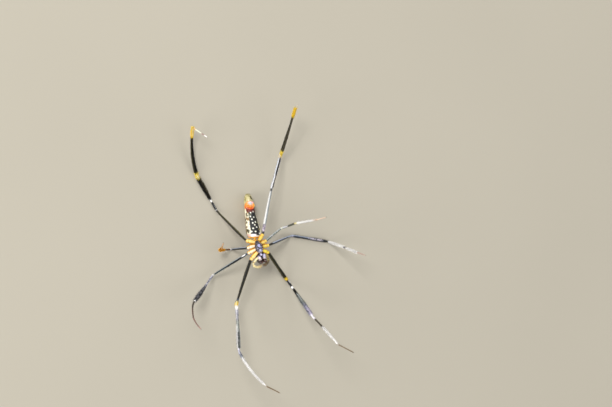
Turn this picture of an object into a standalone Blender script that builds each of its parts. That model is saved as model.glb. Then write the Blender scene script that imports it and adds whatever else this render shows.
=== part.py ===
"""Golden silk orb weaver, a female at life size, lying on its back.

The belly looks up, the head looks along -Y and the tail along +Y. The back of the abdomen and several leg
joints rest on the floor, and the feet reach up as they would to a sheet of threads above the spider.
The origin lies on the flat where the back of the abdomen touches the floor.
Lengths below are in millimetres and angles in degrees, and each mesh is written in metres.
"""
import math
import random

import bmesh
import bpy
import numpy as np
from mathutils import Matrix, Vector

MM = 0.001
GAP = 0.3
EYE_GAP = 0.12
UP = Vector((0.0, 0.0, 1.0))
BRISTLE_SEED = 11

# Where the front of the body sits: its own frame starts at the belly side of the waist.
WAIST = Vector((-0.63, -16.78, 15.4))
HEAD_TURN = 18.0
HEAD_DIP = 5.0

# Carapace, in the front body's own frame: -Y is forward and -Z is the back of the animal.
CARAPACE_FRONT = -11.7
CARAPACE_REAR = -0.6
CARAPACE_ROOF = -2.0
HEAD_HALF_WIDTH = 3.05
THORAX_HALF_WIDTH = 4.5
HEAD_DEPTH = 5.5
THORAX_DEPTH = 4.3
CARAPACE_RIM = 0.5
CARAPACE_BLUNTNESS = 2.9
DIMPLE_DEPTH = 0.45
DIMPLE_Y = -4.4

# Breast plate between the hips.
STERNUM_FRONT = -8.1
STERNUM_REAR = -0.6
STERNUM_HALF_WIDTH = 2.05
STERNUM_TOP = 1.35
STERNUM_BASE = -1.65

# Abdomen, in the object's own frame.
ABDOMEN_FRONT = -16.0
ABDOMEN_TAIL = 10.0
ABDOMEN_HALF_WIDTH = 2.85
ABDOMEN_WIDENING = 0.149
ABDOMEN_WIDEN_FROM = -1.2
ABDOMEN_HALF_HEIGHT = 4.1
ABDOMEN_REST_HEIGHT = 3.83
ABDOMEN_RISE = 8.15
ABDOMEN_RISE_POWER = 1.3
ABDOMEN_LEVEL_FROM = -1.0
ABDOMEN_TAIL_X = -1.0
ABDOMEN_FRONT_X = -0.35
ABDOMEN_BOW = 0.75

# Spinnerets: where their mound sits along and round the twisted belly, its size, and its two slopes.
SPINNERET_Y = 3.1
SPINNERET_ANGLE = 110.0
MOUND_RADIUS = 2.85
MOUND_HEIGHT = 1.3
MOUND_SLOPE = 7.5
MOUND_ROLL = 26.0
POCKET_DEPTH = 0.55

# Hips: for each pair the inner and the outer end, as sideways and forward distances from the waist.
HIPS = {
    1: ((1.85, 7.3), (5.6, 10.0)),
    2: ((2.5, 5.3), (6.9, 5.8)),
    3: ((2.3, 3.1), (6.2, 2.7)),
    4: ((1.55, 1.1), (5.5, -1.7)),
}
HIP_INNER_HEIGHT = -0.35
HIP_OUTER_HEIGHT = 0.3

# The outer ends of the hips lean this much towards -X, as the animal twists.
HIP_SWAY = {("left", 1): -1.6, ("right", 1): -1.0}
HIP_SWAY_OTHERS = -0.7

# Segment lengths of each pair of legs: femur, patella with tibia, metatarsus, tarsus.
SEGMENT_LENGTHS = {
    1: (27.2, 28.0, 27.5, 10.0),
    2: (24.8, 23.3, 24.5, 8.4),
    3: (15.8, 11.5, 13.8, 5.0),
    4: (26.8, 22.8, 30.0, 10.4),
}
SEGMENTS = ("femur", "tibia", "metatarsus", "tarsus")

# Pose of each leg: for each segment the bearing, from straight ahead towards +X, and the climb.
LEG_POSE = {
    ("left", 1): ((-18.0, -9.5), (-5.0, 17.0), (28.5, 32.0), (54.5, 52.0)),
    ("left", 2): ((-56.5, -28.0), (-46.5, 27.0), (-44.0, 62.5), (23.0, 32.0)),
    ("left", 3): ((-82.5, -66.0), (-90.0, 37.5), (-136.5, 73.5), (-149.5, 70.0)),
    ("left", 4): ((-145.5, -33.2), (-151.5, -0.5), (-171.5, 15.5), (49.5, 28.5)),
    ("right", 1): ((43.2, -30.3), (24.0, 32.5), (25.0, 50.0), (57.5, 25.0)),
    ("right", 2): ((104.0, -34.9), (79.0, 0.0), (55.5, 61.0), (50.5, 70.0)),
    ("right", 3): ((119.0, -27.5), (116.5, 59.0), (99.0, 35.0), (105.5, 34.5)),
    ("right", 4): ((165.5, -3.0), (155.0, -19.0), (167.5, 23.5), (-131.5, 74.0)),
}

# Outward bow of each segment's middle, sideways to its run; legs not named here bow a little upwards.
SIDE_BOW = {
    ("left", 1, "metatarsus"): 1.6,
    ("left", 2, "metatarsus"): 1.5,
    ("left", 2, "tarsus"): 0.5,
    ("left", 4, "metatarsus"): -1.9,
}
LIFT_BOW = {"femur": -0.5, "tibia": 0.3, "metatarsus": 0.5, "tarsus": 0.15}

# Thickness along each segment, as (share of its length, radius) pairs.
HIP_PROFILE = ((0.0, 0.85), (0.3, 1.1), (0.62, 1.22), (0.76, 0.95), (0.86, 1.08), (1.0, 0.84))
PROFILES = {
    "femur": ((0.0, 0.7), (0.08, 0.82), (0.3, 0.98), (0.7, 0.82), (0.93, 0.62), (1.0, 0.68)),
    "tibia": ((0.0, 0.66), (0.1, 0.68), (0.2, 0.58), (0.24, 0.48), (0.32, 0.56), (0.7, 0.8), (0.9, 0.66),
              (1.0, 0.46)),
    "metatarsus": ((0.0, 0.46), (0.1, 0.52), (0.5, 0.42), (0.9, 0.34), (1.0, 0.36)),
    "tarsus": ((0.0, 0.32), (0.4, 0.3), (0.85, 0.26), (1.0, 0.2)),
}
THIN_TIBIA = ((0.0, 0.62), (0.1, 0.64), (0.3, 0.5), (0.36, 0.44), (0.5, 0.52), (1.0, 0.42))
REAR_METATARSUS = ((0.0, 0.5), (0.08, 0.66), (0.35, 0.64), (0.7, 0.42), (0.86, 0.46), (1.0, 0.4))
PAIR_SCALE = {1: 1.0, 2: 0.94, 3: 0.86, 4: 0.96}
FEMUR_SCALE = {1: 1.05, 2: 0.72, 3: 0.72, 4: 0.76}

# Joints that rest on the floor: the far ends of these segments.
RESTING = {
    ("right", 1, "femur"), ("right", 2, "femur"), ("right", 2, "tibia"),
    ("left", 3, "femur"), ("left", 4, "femur"), ("left", 4, "tibia"),
}
REST_RADIUS = 0.55
SPARE_LENGTH = 1.6
RINGS = {"coxa": 8, "femur": 10, "tibia": 11, "metatarsus": 9, "tarsus": 5}
ROUNDNESS = {"coxa": 3, "femur": 2, "tibia": 2, "metatarsus": 2, "tarsus": 1}

# Brush of stiff hair on the shins of pairs 1, 2 and 4, built as tapered clumps that lie towards the foot.
BRUSH_PAIRS = (1, 2, 4)
BRUSH_FROM = 0.34
BRUSH_TO = 0.86
BRUSH_ROWS = 6
BRUSH_AROUND = 5
BRUSH_LENGTH = 2.5
BRUSH_LEAN = 17.0
BRUSH_THICKNESS = 0.36
BRUSH_SINK = 0.28

COLOURS = {
    "hip": ((0.80, 0.42, 0.03), 0.35),
    "black_leg": ((0.018, 0.018, 0.022), 0.4),
    "tarsus": ((0.30, 0.19, 0.12), 0.5),
    "carapace": ((0.42, 0.40, 0.36), 0.6),
    "sternum": ((0.02, 0.018, 0.016), 0.35),
    "mouth": ((0.20, 0.15, 0.16), 0.4),
    "jaw": ((0.025, 0.02, 0.018), 0.25),
    "palp": ((0.72, 0.58, 0.25), 0.4),
    "abdomen": ((0.33, 0.26, 0.12), 0.45),
    "spinneret": ((0.52, 0.12, 0.03), 0.3),
    "eye": ((0.01, 0.01, 0.012), 0.08),
}


def clear_scene():
    """Empty the file that Blender opens with."""
    for item in list(bpy.data.objects):
        bpy.data.objects.remove(item, do_unlink=True)


def make_material(name):
    """Principled material with a colour and a roughness from COLOURS."""
    if name in bpy.data.materials:
        return bpy.data.materials[name]
    colour, roughness = COLOURS[name]
    material = bpy.data.materials.new(name)
    material.use_nodes = True
    shader = material.node_tree.nodes["Principled BSDF"]
    shader.inputs["Base Color"].default_value = (*colour, 1.0)
    shader.inputs["Roughness"].default_value = roughness
    return material


def add_object(name, bm, material, frame=None):
    """Put a bmesh drawn in millimetres into the scene in metres, placed by frame."""
    if frame is not None:
        bmesh.ops.transform(bm, matrix=frame, verts=bm.verts)
    bmesh.ops.recalc_face_normals(bm, faces=bm.faces)
    bmesh.ops.triangulate(bm, faces=bm.faces)
    bmesh.ops.scale(bm, vec=(MM, MM, MM), verts=bm.verts)
    mesh = bpy.data.meshes.new(name)
    bm.to_mesh(mesh)
    bm.free()
    mesh.shade_smooth()
    mesh.set_sharp_from_angle(angle=math.radians(40.0))
    piece = bpy.data.objects.new(name, mesh)
    piece.data.materials.append(make_material(material))
    BODY.objects.link(piece)
    return piece


def head_frame():
    """Matrix from the front body's own frame to the object's."""
    turn = Matrix.Rotation(math.radians(HEAD_TURN), 4, "Z")
    dip = Matrix.Rotation(math.radians(HEAD_DIP), 4, "X")
    return Matrix.Translation(WAIST) @ turn @ dip


def smooth_step(low, high, value):
    """Ease from 0 at low to 1 at high."""
    share = min(max((value - low) / (high - low), 0.0), 1.0)
    return share * share * (3.0 - 2.0 * share)


def shaped_ball(shape, around, rings):
    """Unit ball whose points are moved by shape(long, angle, radius); long runs from -1 to 1 pole to pole."""
    bm = bmesh.new()
    bmesh.ops.create_uvsphere(bm, u_segments=around, v_segments=rings, radius=1.0)
    for vert in bm.verts:
        long = max(-1.0, min(1.0, vert.co.z))
        radius = math.sqrt(max(0.0, 1.0 - long * long))
        angle = math.atan2(vert.co.y, vert.co.x)
        vert.co = shape(long, angle, radius)
    return bm


def tube(points, radii, roundness):
    """Closed tube through points, with its own radius at each, as a bmesh in millimetres."""
    curve = bpy.data.curves.new("tube", "CURVE")
    curve.dimensions = "3D"
    curve.bevel_depth = 1.0
    curve.bevel_resolution = roundness
    curve.use_fill_caps = True
    spline = curve.splines.new("POLY")
    spline.points.add(len(points) - 1)
    for knot, point, radius in zip(spline.points, points, radii):
        knot.co = (*point, 1.0)
        knot.radius = radius
    holder = bpy.data.objects.new("tube", curve)
    bpy.context.scene.collection.objects.link(holder)
    bpy.context.view_layer.update()
    mesh = bpy.data.meshes.new_from_object(holder.evaluated_get(bpy.context.evaluated_depsgraph_get()))
    bm = bmesh.new()
    bm.from_mesh(mesh)
    bmesh.ops.remove_doubles(bm, verts=bm.verts, dist=0.0001)
    bpy.data.objects.remove(holder, do_unlink=True)
    bpy.data.curves.remove(curve)
    bpy.data.meshes.remove(mesh)
    return bm


def slice_off(bm, point, normal):
    """Cut away what lies beyond the plane and close the cut."""
    cut = bmesh.ops.bisect_plane(
        bm,
        geom=bm.verts[:] + bm.edges[:] + bm.faces[:],
        dist=0.00001,
        plane_co=point,
        plane_no=normal,
        clear_outer=True,
    )
    rim = [item for item in cut["geom_cut"] if isinstance(item, bmesh.types.BMEdge)]
    if rim:
        bmesh.ops.holes_fill(bm, edges=rim, sides=0)


def apply_boolean(piece, others, operation):
    """Join the other objects to the piece, or cut them from it, and remove them."""
    pile = bpy.data.collections.new("operands")
    bpy.context.scene.collection.children.link(pile)
    for other in others:
        for home in list(other.users_collection):
            home.objects.unlink(other)
        pile.objects.link(other)
    step = piece.modifiers.new("boolean", "BOOLEAN")
    step.operation = operation
    step.operand_type = "COLLECTION"
    step.collection = pile
    step.solver = "MANIFOLD"
    bpy.context.view_layer.update()
    mesh = bpy.data.meshes.new_from_object(piece.evaluated_get(bpy.context.evaluated_depsgraph_get()))
    piece.modifiers.clear()
    old = piece.data
    piece.data = mesh
    mesh.name = piece.name
    bpy.data.meshes.remove(old)
    for other in list(pile.objects):
        bpy.data.objects.remove(other, do_unlink=True)
    bpy.data.collections.remove(pile)
    keep_largest(piece)


def keep_largest(piece):
    """Keep only the largest closed surface of the piece."""
    bm = bmesh.new()
    bm.from_mesh(piece.data)
    bmesh.ops.remove_doubles(bm, verts=bm.verts, dist=0.000002)
    left = set(bm.verts)
    islands = []
    while left:
        island = set()
        front = [left.pop()]
        while front:
            vert = front.pop()
            island.add(vert)
            for edge in vert.link_edges:
                other = edge.other_vert(vert)
                if other in left:
                    left.discard(other)
                    front.append(other)
        islands.append(island)
    islands.sort(key=len, reverse=True)
    scraps = [vert for island in islands[1:] for vert in island]
    bmesh.ops.delete(bm, geom=scraps, context="VERTS")
    bmesh.ops.triangulate(bm, faces=bm.faces)
    bm.to_mesh(piece.data)
    bm.free()


def profile_radius(profile, share):
    """Radius at a share of the length, eased between the profile's knots."""
    shares = [knot[0] for knot in profile]
    radii = [knot[1] for knot in profile]
    return float(np.interp(share, shares, radii))


def direction(bearing, climb):
    """Unit vector for a bearing from -Y towards +X and a climb above the floor."""
    flat = math.cos(math.radians(climb))
    turn = math.radians(bearing)
    return Vector((flat * math.sin(turn), -flat * math.cos(turn), math.sin(math.radians(climb))))


class Limb:
    """One run of a leg from start to end, bowed in the middle."""

    def __init__(self, start, end, side_bow=0.0, lift_bow=0.0):
        self.start = start
        self.end = end
        run = (end - start).normalized()
        side = run.cross(UP)
        side = side.normalized() if side.length > 0.01 else Vector((1.0, 0.0, 0.0))
        self.bow = side * side_bow + side.cross(run) * lift_bow

    def point(self, share):
        """Place at a share of the length, on the bowed line, also a little past its ends."""
        return self.start.lerp(self.end, share) + self.bow * (4.0 * share * (1.0 - share))

    def heading(self, share):
        """Unit direction of the line at a share of its length."""
        return ((self.end - self.start) + self.bow * (4.0 - 8.0 * share)).normalized()


def limb_mesh(limb, profile, scale, rings, roundness, face_in, face_out, extra=0.0):
    """Tube along a limb, mitred at both ends; each face is a plane's point and outward normal."""
    length = (limb.end - limb.start).length
    spare = SPARE_LENGTH / length
    shares = [-spare] + [index / (rings - 1) for index in range(rings)] + [1.0 + spare]
    points = [limb.point(share) for share in shares]
    radii = [scale * profile_radius(profile, share) + extra for share in shares]
    bm = tube(points, radii, roundness)
    for point, normal in (face_in, face_out):
        slice_off(bm, point, normal)
    return bm


def joint_face(joint, before, after, sign):
    """Plane that halves the angle of a joint, moved half a gap towards one side of it."""
    normal = (before + after).normalized()
    return joint + normal * (sign * GAP / 2.0), normal * -sign


def rest_on_floor(bm):
    """Trim whatever would sink below the floor to a small flat."""
    lowest = min(vert.co.z for vert in bm.verts)
    if lowest < 0.0:
        slice_off(bm, (0.0, 0.0, 0.0), (0.0, 0.0, -1.0))


def cone_object(root, tip, thickness, sides=3):
    """Tapered clump from root to tip, as an object in metres."""
    axis = tip - root
    bm = bmesh.new()
    bmesh.ops.create_cone(
        bm, cap_ends=True, segments=sides, radius1=thickness, radius2=0.05, depth=axis.length)
    turn = axis.to_track_quat("Z", "Y").to_matrix().to_4x4()
    bmesh.ops.transform(bm, matrix=Matrix.Translation((root + tip) / 2.0) @ turn, verts=bm.verts)
    return add_object("clump", bm, "black_leg")


def brush_clumps(limb, profile, scale, draw):
    """Clumps of stiff hair round the outer half of a shin, longest in the middle of the brush."""
    clumps = []
    for row in range(BRUSH_ROWS):
        share = BRUSH_FROM + (BRUSH_TO - BRUSH_FROM) * row / (BRUSH_ROWS - 1)
        heading = limb.heading(share)
        side = heading.cross(UP).normalized()
        rise = side.cross(heading)
        fullness = 0.62 + 0.38 * math.sin(math.pi * (0.15 + 0.75 * row / (BRUSH_ROWS - 1)))
        radius = scale * profile_radius(profile, share)
        for step in range(BRUSH_AROUND):
            angle = 2.0 * math.pi * (step + 0.5 * (row % 2) + draw.uniform(-0.12, 0.12)) / BRUSH_AROUND
            outward = side * math.cos(angle) + rise * math.sin(angle)
            lean = math.radians(BRUSH_LEAN * draw.uniform(0.85, 1.2))
            reach = BRUSH_LENGTH * fullness * scale * draw.uniform(0.88, 1.1)
            root = limb.point(share) + outward * (radius - BRUSH_SINK)
            tip = root + heading * (reach * math.cos(lean)) + outward * (BRUSH_SINK + reach * math.sin(lean))
            clumps.append(cone_object(root, tip, BRUSH_THICKNESS))
    return clumps


def leg_limbs(side, pair, frame):
    """Runs of one leg in the photo's pose, from the hip to the end of the foot."""
    sign = 1.0 if side == "right" else -1.0
    (in_side, in_ahead), (out_side, out_ahead) = HIPS[pair]
    sway = HIP_SWAY.get((side, pair), HIP_SWAY_OTHERS)
    inner = frame @ Vector((sign * in_side, -in_ahead, HIP_INNER_HEIGHT))
    joint = frame @ Vector((sign * out_side + sway, -out_ahead, HIP_OUTER_HEIGHT))
    limbs = [Limb(inner, joint)]
    for segment, length, (bearing, climb) in zip(SEGMENTS, SEGMENT_LENGTHS[pair], LEG_POSE[side, pair]):
        if (side, pair, segment) in RESTING:
            climb = math.degrees(math.asin((REST_RADIUS - joint.z) / length))
        end = joint + direction(bearing, climb) * length
        limbs.append(Limb(joint, end, SIDE_BOW.get((side, pair, segment), 0.0), LIFT_BOW[segment]))
        joint = end
    return limbs


def segment_profile(name, pair):
    """Thickness profile of a segment and the scale it takes in this pair of legs."""
    if name == "coxa":
        return HIP_PROFILE, 1.0
    if name == "femur":
        return PROFILES[name], FEMUR_SCALE[pair]
    if pair == 3 and name == "tibia":
        return THIN_TIBIA, PAIR_SCALE[pair]
    if pair == 4 and name == "metatarsus":
        return REAR_METATARSUS, PAIR_SCALE[pair]
    return PROFILES[name], PAIR_SCALE[pair]


def build_leg(side, pair, frame, draw):
    """One leg: hip, femur, shin with its knee, metatarsus and tarsus."""
    names = ("coxa",) + SEGMENTS
    limbs = leg_limbs(side, pair, frame)
    for index, (name, limb) in enumerate(zip(names, limbs)):
        face_in = (limb.start, -limb.heading(0.0))
        if index > 0:
            face_in = joint_face(limb.start, limbs[index - 1].heading(1.0), limb.heading(0.0), 1.0)
        face_out = (limb.end, limb.heading(1.0))
        if index < len(limbs) - 1:
            face_out = joint_face(limb.end, limb.heading(1.0), limbs[index + 1].heading(0.0), -1.0)
        profile, scale = segment_profile(name, pair)
        bm = limb_mesh(limb, profile, scale, RINGS[name], ROUNDNESS[name], face_in, face_out)
        rest_on_floor(bm)
        material = {"coxa": "hip", "tarsus": "tarsus"}.get(name, "black_leg")
        piece = add_object(f"leg{pair}_{side}_{name}", bm, material)
        if name == "tibia" and pair in BRUSH_PAIRS:
            apply_boolean(piece, brush_clumps(limb, profile, scale, draw), "UNION")
            trimmed = bmesh.new()
            trimmed.from_mesh(piece.data)
            rest_on_floor(trimmed)
            bmesh.ops.triangulate(trimmed, faces=trimmed.faces)
            trimmed.to_mesh(piece.data)
            trimmed.free()


def carapace_point(long, angle, radius):
    """Back shield of the front body: a raised head, a wider thorax and a dimple behind it."""
    middle = (CARAPACE_FRONT + CARAPACE_REAR) / 2.0
    half = (CARAPACE_REAR - CARAPACE_FRONT) / 2.0
    y = middle + half * long
    thorax = smooth_step(-8.6, -5.2, y)
    half_width = HEAD_HALF_WIDTH + (THORAX_HALF_WIDTH - HEAD_HALF_WIDTH) * thorax
    depth = HEAD_DEPTH + (THORAX_DEPTH - HEAD_DEPTH) * smooth_step(-9.0, -4.6, y)
    depth *= 1.0 - 0.35 * smooth_step(-3.2, 0.2, y)
    blunt = (1.0 - abs(long) ** CARAPACE_BLUNTNESS) ** (1.0 / CARAPACE_BLUNTNESS)
    across = math.cos(angle)
    down = math.sin(angle)
    x = half_width * blunt * math.copysign(abs(across) ** 0.85, across)
    rim = CARAPACE_ROOF - CARAPACE_RIM
    if down > 0.0:
        return Vector((x, y, rim + CARAPACE_RIM * blunt * down ** 0.5))
    dimple = DIMPLE_DEPTH * math.exp(-((y - DIMPLE_Y) ** 2 / 0.8 + x * x / 1.2))
    return Vector((x, y, rim - blunt * (depth - CARAPACE_RIM) * abs(down) ** 0.9 + dimple * radius))


def build_carapace(frame):
    """Carapace, with seats in its front that the two chelicerae stand in."""
    carapace = add_object("carapace", shaped_ball(carapace_point, 24, 17), "carapace", frame)
    seats = [add_object("seat", jaw_mesh(sign, GAP), "jaw", frame) for sign in (-1.0, 1.0)]
    apply_boolean(carapace, seats, "DIFFERENCE")
    return carapace


# Eyes: sideways place, height and radius of each, and the smaller second eye of each side pair.
EYES = {
    "eye_front_left": (-0.62, -5.35, 0.33),
    "eye_front_right": (0.62, -5.35, 0.33),
    "eye_rear_left": (-0.72, -6.45, 0.32),
    "eye_rear_right": (0.72, -6.45, 0.32),
    "eye_pair_left": (-2.3, -5.15, 0.36),
    "eye_pair_right": (2.3, -5.15, 0.36),
}
SECOND_EYE_STEP = Vector((0.0, 0.05, -0.5))
SECOND_EYE_SCALE = 0.86
HEAD_MIDDLE = Vector((0.0, -8.0, -4.4))


def head_surface(x, z):
    """Front point of the head at a sideways place and a height, with its outward normal."""
    best = None
    for step in range(160):
        for lane in range(60):
            long = -1.0 + 0.35 * lane / 59.0
            angle = -math.pi * step / 159.0
            point = carapace_point(long, angle, math.sqrt(max(0.0, 1.0 - long * long)))
            miss = (point.x - x) ** 2 + (point.z - z) ** 2
            if best is None or miss < best[0]:
                best = (miss, point)
    return best[1], (best[1] - HEAD_MIDDLE).normalized()


def ball_object(name, centre, radius, material, frame, around=10, rings=6):
    """Ball as an object, given in the front body's frame."""
    bm = bmesh.new()
    bmesh.ops.create_uvsphere(bm, u_segments=around, v_segments=rings, radius=radius)
    bmesh.ops.translate(bm, vec=centre, verts=bm.verts)
    return add_object(name, bm, material, frame)


def build_eyes(carapace, frame):
    """Four middle eyes, and at each side two eyes on one knob, all in seats cut in the head."""
    seats = []
    for name, (x, z, radius) in EYES.items():
        point, normal = head_surface(x, z)
        centre = point + normal * (radius * 0.25)
        seats.append(ball_object("seat", centre, radius + EYE_GAP, "eye", frame))
        piece = ball_object(name, centre, radius, "eye", frame)
        if "pair" in name:
            beside = centre + SECOND_EYE_STEP
            second = radius * SECOND_EYE_SCALE
            seats.append(ball_object("seat", beside, second + EYE_GAP, "eye", frame))
            apply_boolean(piece, [ball_object("second", beside, second, "eye", frame)], "UNION")
    apply_boolean(carapace, seats, "DIFFERENCE")


def sternum_point(long, angle, radius):
    """Heart-shaped breast plate, widest between the second hips, with a gently domed top."""
    y = (STERNUM_FRONT + STERNUM_REAR) / 2.0 + (STERNUM_REAR - STERNUM_FRONT) / 2.0 * long
    share = (y - STERNUM_FRONT) / (STERNUM_REAR - STERNUM_FRONT)
    swell = 0.72 + 0.28 * math.sin(math.pi * min(1.0, share / 0.8)) - 0.38 * smooth_step(0.6, 1.0, share)
    blunt = (1.0 - abs(long) ** 3.4) ** (1.0 / 3.4)
    across = math.cos(angle)
    up = math.sin(angle)
    x = STERNUM_HALF_WIDTH * swell * blunt * math.copysign(abs(across) ** 0.7, across)
    half = (STERNUM_TOP - STERNUM_BASE) / 2.0
    middle = (STERNUM_TOP + STERNUM_BASE) / 2.0
    return Vector((x, y, middle + half * blunt ** 0.5 * math.copysign(abs(up) ** 0.6, up)))


# Lip plate and the two jaw plates in front of the breast plate.
LIP_HALF_WIDTH = 0.66
LIP_HALF_LENGTH = 0.85
LIP_MIDDLE = -9.25
MAXILLA_SIDE = 1.62
MAXILLA_HALF_WIDTH = 0.78
MAXILLA_MIDDLE = -10.65
MAXILLA_HALF_LENGTH = 1.5
MOUTH_MIDDLE = -0.2
MOUTH_HALF_DEPTH = 1.45


def build_mouthparts(frame):
    """Breast plate, lip plate and the two jaw plates beside it."""
    add_object("sternum", shaped_ball(sternum_point, 18, 11), "sternum", frame)

    def lip(long, angle, radius):
        width = LIP_HALF_WIDTH * (1.0 - 0.2 * long) * radius
        return Vector((width * math.cos(angle), LIP_MIDDLE + LIP_HALF_LENGTH * long,
                       MOUTH_MIDDLE + MOUTH_HALF_DEPTH * radius * math.sin(angle)))

    add_object("labium", shaped_ball(lip, 12, 8), "mouth", frame)
    for side, sign in (("left", -1.0), ("right", 1.0)):
        def plate(long, angle, radius, sign=sign):
            width = (MAXILLA_HALF_WIDTH - 0.12 * long) * (1.0 - abs(long) ** 3.0) ** (1.0 / 3.0)
            x = MAXILLA_SIDE + 0.2 * long + width * math.cos(angle)
            return Vector((sign * x, MAXILLA_MIDDLE + MAXILLA_HALF_LENGTH * long,
                           MOUTH_MIDDLE + MOUTH_HALF_DEPTH * radius ** 0.6 * math.sin(angle)))

        add_object(f"maxilla_{side}", shaped_ball(plate, 12, 8), "mouth", frame)


# Chelicerae, fangs and palps of the right side; the left ones are their mirror images.
JAW_TOP = Vector((1.4, -12.25, -5.0))
JAW_TIP = Vector((1.3, -13.95, 0.3))
JAW_PROFILE = ((0.0, 0.6), (0.07, 0.95), (0.25, 1.22), (0.6, 1.25), (0.88, 0.92), (1.0, 0.62))
FANG_FOOT = Vector((0.15, -0.15, 0.32))
FANG_RADII = (0.36, 0.34, 0.3, 0.24, 0.17, 0.08)
PALP_ROUTE = ((2.8, -10.65, -0.3), (4.1, -11.6, -0.5), (4.95, -12.9, -0.4), (4.7, -14.3, 0.0),
              (3.5, -15.3, 0.35), (2.0, -15.75, 0.6), (0.75, -15.6, 0.75))
PALP_SWAY = -1.5
PALP_PROFILE = ((0.0, 0.46), (0.06, 0.56), (0.28, 0.6), (0.36, 0.42), (0.43, 0.56), (0.5, 0.42), (0.6, 0.58),
                (0.68, 0.42), (0.8, 0.6), (0.93, 0.5), (1.0, 0.24))


def mirrored(point, sign):
    """The point on the left or right side of the front body."""
    return Vector((sign * point[0], point[1], point[2]))


def smooth_route(route, steps):
    """Points of a smooth curve through the route's own points."""
    knots = [Vector(point) for point in route]
    line = []
    for index in range(len(knots) - 1):
        before = knots[max(index - 1, 0)]
        first = knots[index]
        second = knots[index + 1]
        after = knots[min(index + 2, len(knots) - 1)]
        for step in range(steps):
            share = step / steps
            bend = (2.0 * before - 5.0 * first + 4.0 * second - after) * share ** 2
            twist = (3.0 * (first - second) + after - before) * share ** 3
            line.append(0.5 * (2.0 * first + (second - before) * share + bend + twist))
    line.append(knots[-1])
    return line


def jaw_mesh(sign, extra=0.0):
    """One chelicera, or with extra the room it stands in."""
    jaw = Limb(mirrored(JAW_TOP, sign), mirrored(JAW_TIP, sign))
    top = (jaw.start - jaw.heading(0.0) * extra, -jaw.heading(0.0))
    return limb_mesh(jaw, JAW_PROFILE, 1.0, 9, 4, top, (jaw.end, jaw.heading(1.0)), extra)


def fang_point(foot, sign, share):
    """Place on the folded fang, which curls inwards and back from its foot."""
    back = 0.35 * share + 0.5 * share * share
    return foot + Vector((-0.95 * sign * share, back, 0.42 * math.sin(math.pi * share)))


def build_jaws(frame):
    """Two stout chelicerae with a folded fang each, and the two palps that curl round in front."""
    for side, sign in (("left", -1.0), ("right", 1.0)):
        add_object(f"chelicera_{side}", jaw_mesh(sign), "jaw", frame)
        foot = mirrored(JAW_TIP + FANG_FOOT, sign)
        fang = [fang_point(foot, sign, step / (len(FANG_RADII) - 1)) for step in range(len(FANG_RADII))]
        add_object(f"fang_{side}", tube(fang, FANG_RADII, 1), "jaw", frame)
        route = [mirrored(point, sign) for point in PALP_ROUTE]
        for point in route:
            point.x += PALP_SWAY * smooth_step(10.7, 13.2, -point.y)
        line = smooth_route(route, 4)
        radii = [profile_radius(PALP_PROFILE, step / (len(line) - 1)) for step in range(len(line))]
        add_object(f"palp_{side}", tube(line, radii, 2), "palp", frame)


def abdomen_middle(y):
    """Height of the abdomen's middle line at a place along it."""
    slope_share = max(0.0, (ABDOMEN_LEVEL_FROM - y) / (ABDOMEN_LEVEL_FROM - ABDOMEN_FRONT))
    return ABDOMEN_REST_HEIGHT + ABDOMEN_RISE * slope_share ** ABDOMEN_RISE_POWER


def abdomen_sway(y):
    """Sideways place of the abdomen's middle line, which bows a little towards +X."""
    share = (ABDOMEN_TAIL - y) / (ABDOMEN_TAIL - ABDOMEN_FRONT)
    bow = ABDOMEN_BOW * math.sin(math.pi * share)
    return ABDOMEN_TAIL_X + (ABDOMEN_FRONT_X - ABDOMEN_TAIL_X) * share + bow


def abdomen_point(long, angle, radius):
    """Long barrel of an abdomen that widens forwards, blunt in front and rounder at the tail."""
    y = (ABDOMEN_FRONT + ABDOMEN_TAIL) / 2.0 + (ABDOMEN_TAIL - ABDOMEN_FRONT) / 2.0 * long
    high_power = 2.9 if long < 0.0 else 2.35
    wide_power = 5.0 if long < 0.0 else 2.8
    widest = ABDOMEN_HALF_WIDTH + ABDOMEN_WIDENING * max(0.0, ABDOMEN_WIDEN_FROM - y)
    half_width = widest * (1.0 - abs(long) ** wide_power) ** (1.0 / wide_power)
    half_height = ABDOMEN_HALF_HEIGHT * (1.0 - abs(long) ** high_power) ** (1.0 / high_power)
    across = abdomen_sway(y) + half_width * math.cos(angle)
    return Vector((across, y, abdomen_middle(y) + half_height * math.sin(angle)))


def mound_frame():
    """Frame at the foot of the spinnerets, its Z leaving the belly."""
    share = (SPINNERET_Y - (ABDOMEN_FRONT + ABDOMEN_TAIL) / 2.0) / ((ABDOMEN_TAIL - ABDOMEN_FRONT) / 2.0)
    top = abdomen_point(share, math.radians(SPINNERET_ANGLE), 1.0)
    roll = Matrix.Rotation(math.radians(-MOUND_ROLL), 4, "Y")
    return Matrix.Translation(top) @ roll @ Matrix.Rotation(math.radians(-MOUND_SLOPE), 4, "X")


def build_abdomen():
    """Abdomen resting on a small flat of its back, with a shallow pocket for the spinnerets."""
    bm = shaped_ball(abdomen_point, 28, 22)
    rest_on_floor(bm)
    abdomen = add_object("abdomen", bm, "abdomen")
    cutter = bmesh.new()
    width = MOUND_RADIUS + GAP
    bmesh.ops.create_cone(cutter, cap_ends=True, segments=28, radius1=width, radius2=width, depth=2.0 * width)
    bmesh.ops.translate(cutter, vec=(0.0, 0.0, width - POCKET_DEPTH), verts=cutter.verts)
    apply_boolean(abdomen, [add_object("pocket", cutter, "abdomen", mound_frame())], "DIFFERENCE")


# Spinnerets of each pair: sideways place, place ahead of the mound's middle, radius and length.
SPINNERETS = {
    "front": (0.95, 0.95, 0.98, 2.1),
    "middle": (0.4, -0.05, 0.36, 1.9),
    "rear": (0.95, -0.95, 0.82, 1.95),
}


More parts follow.
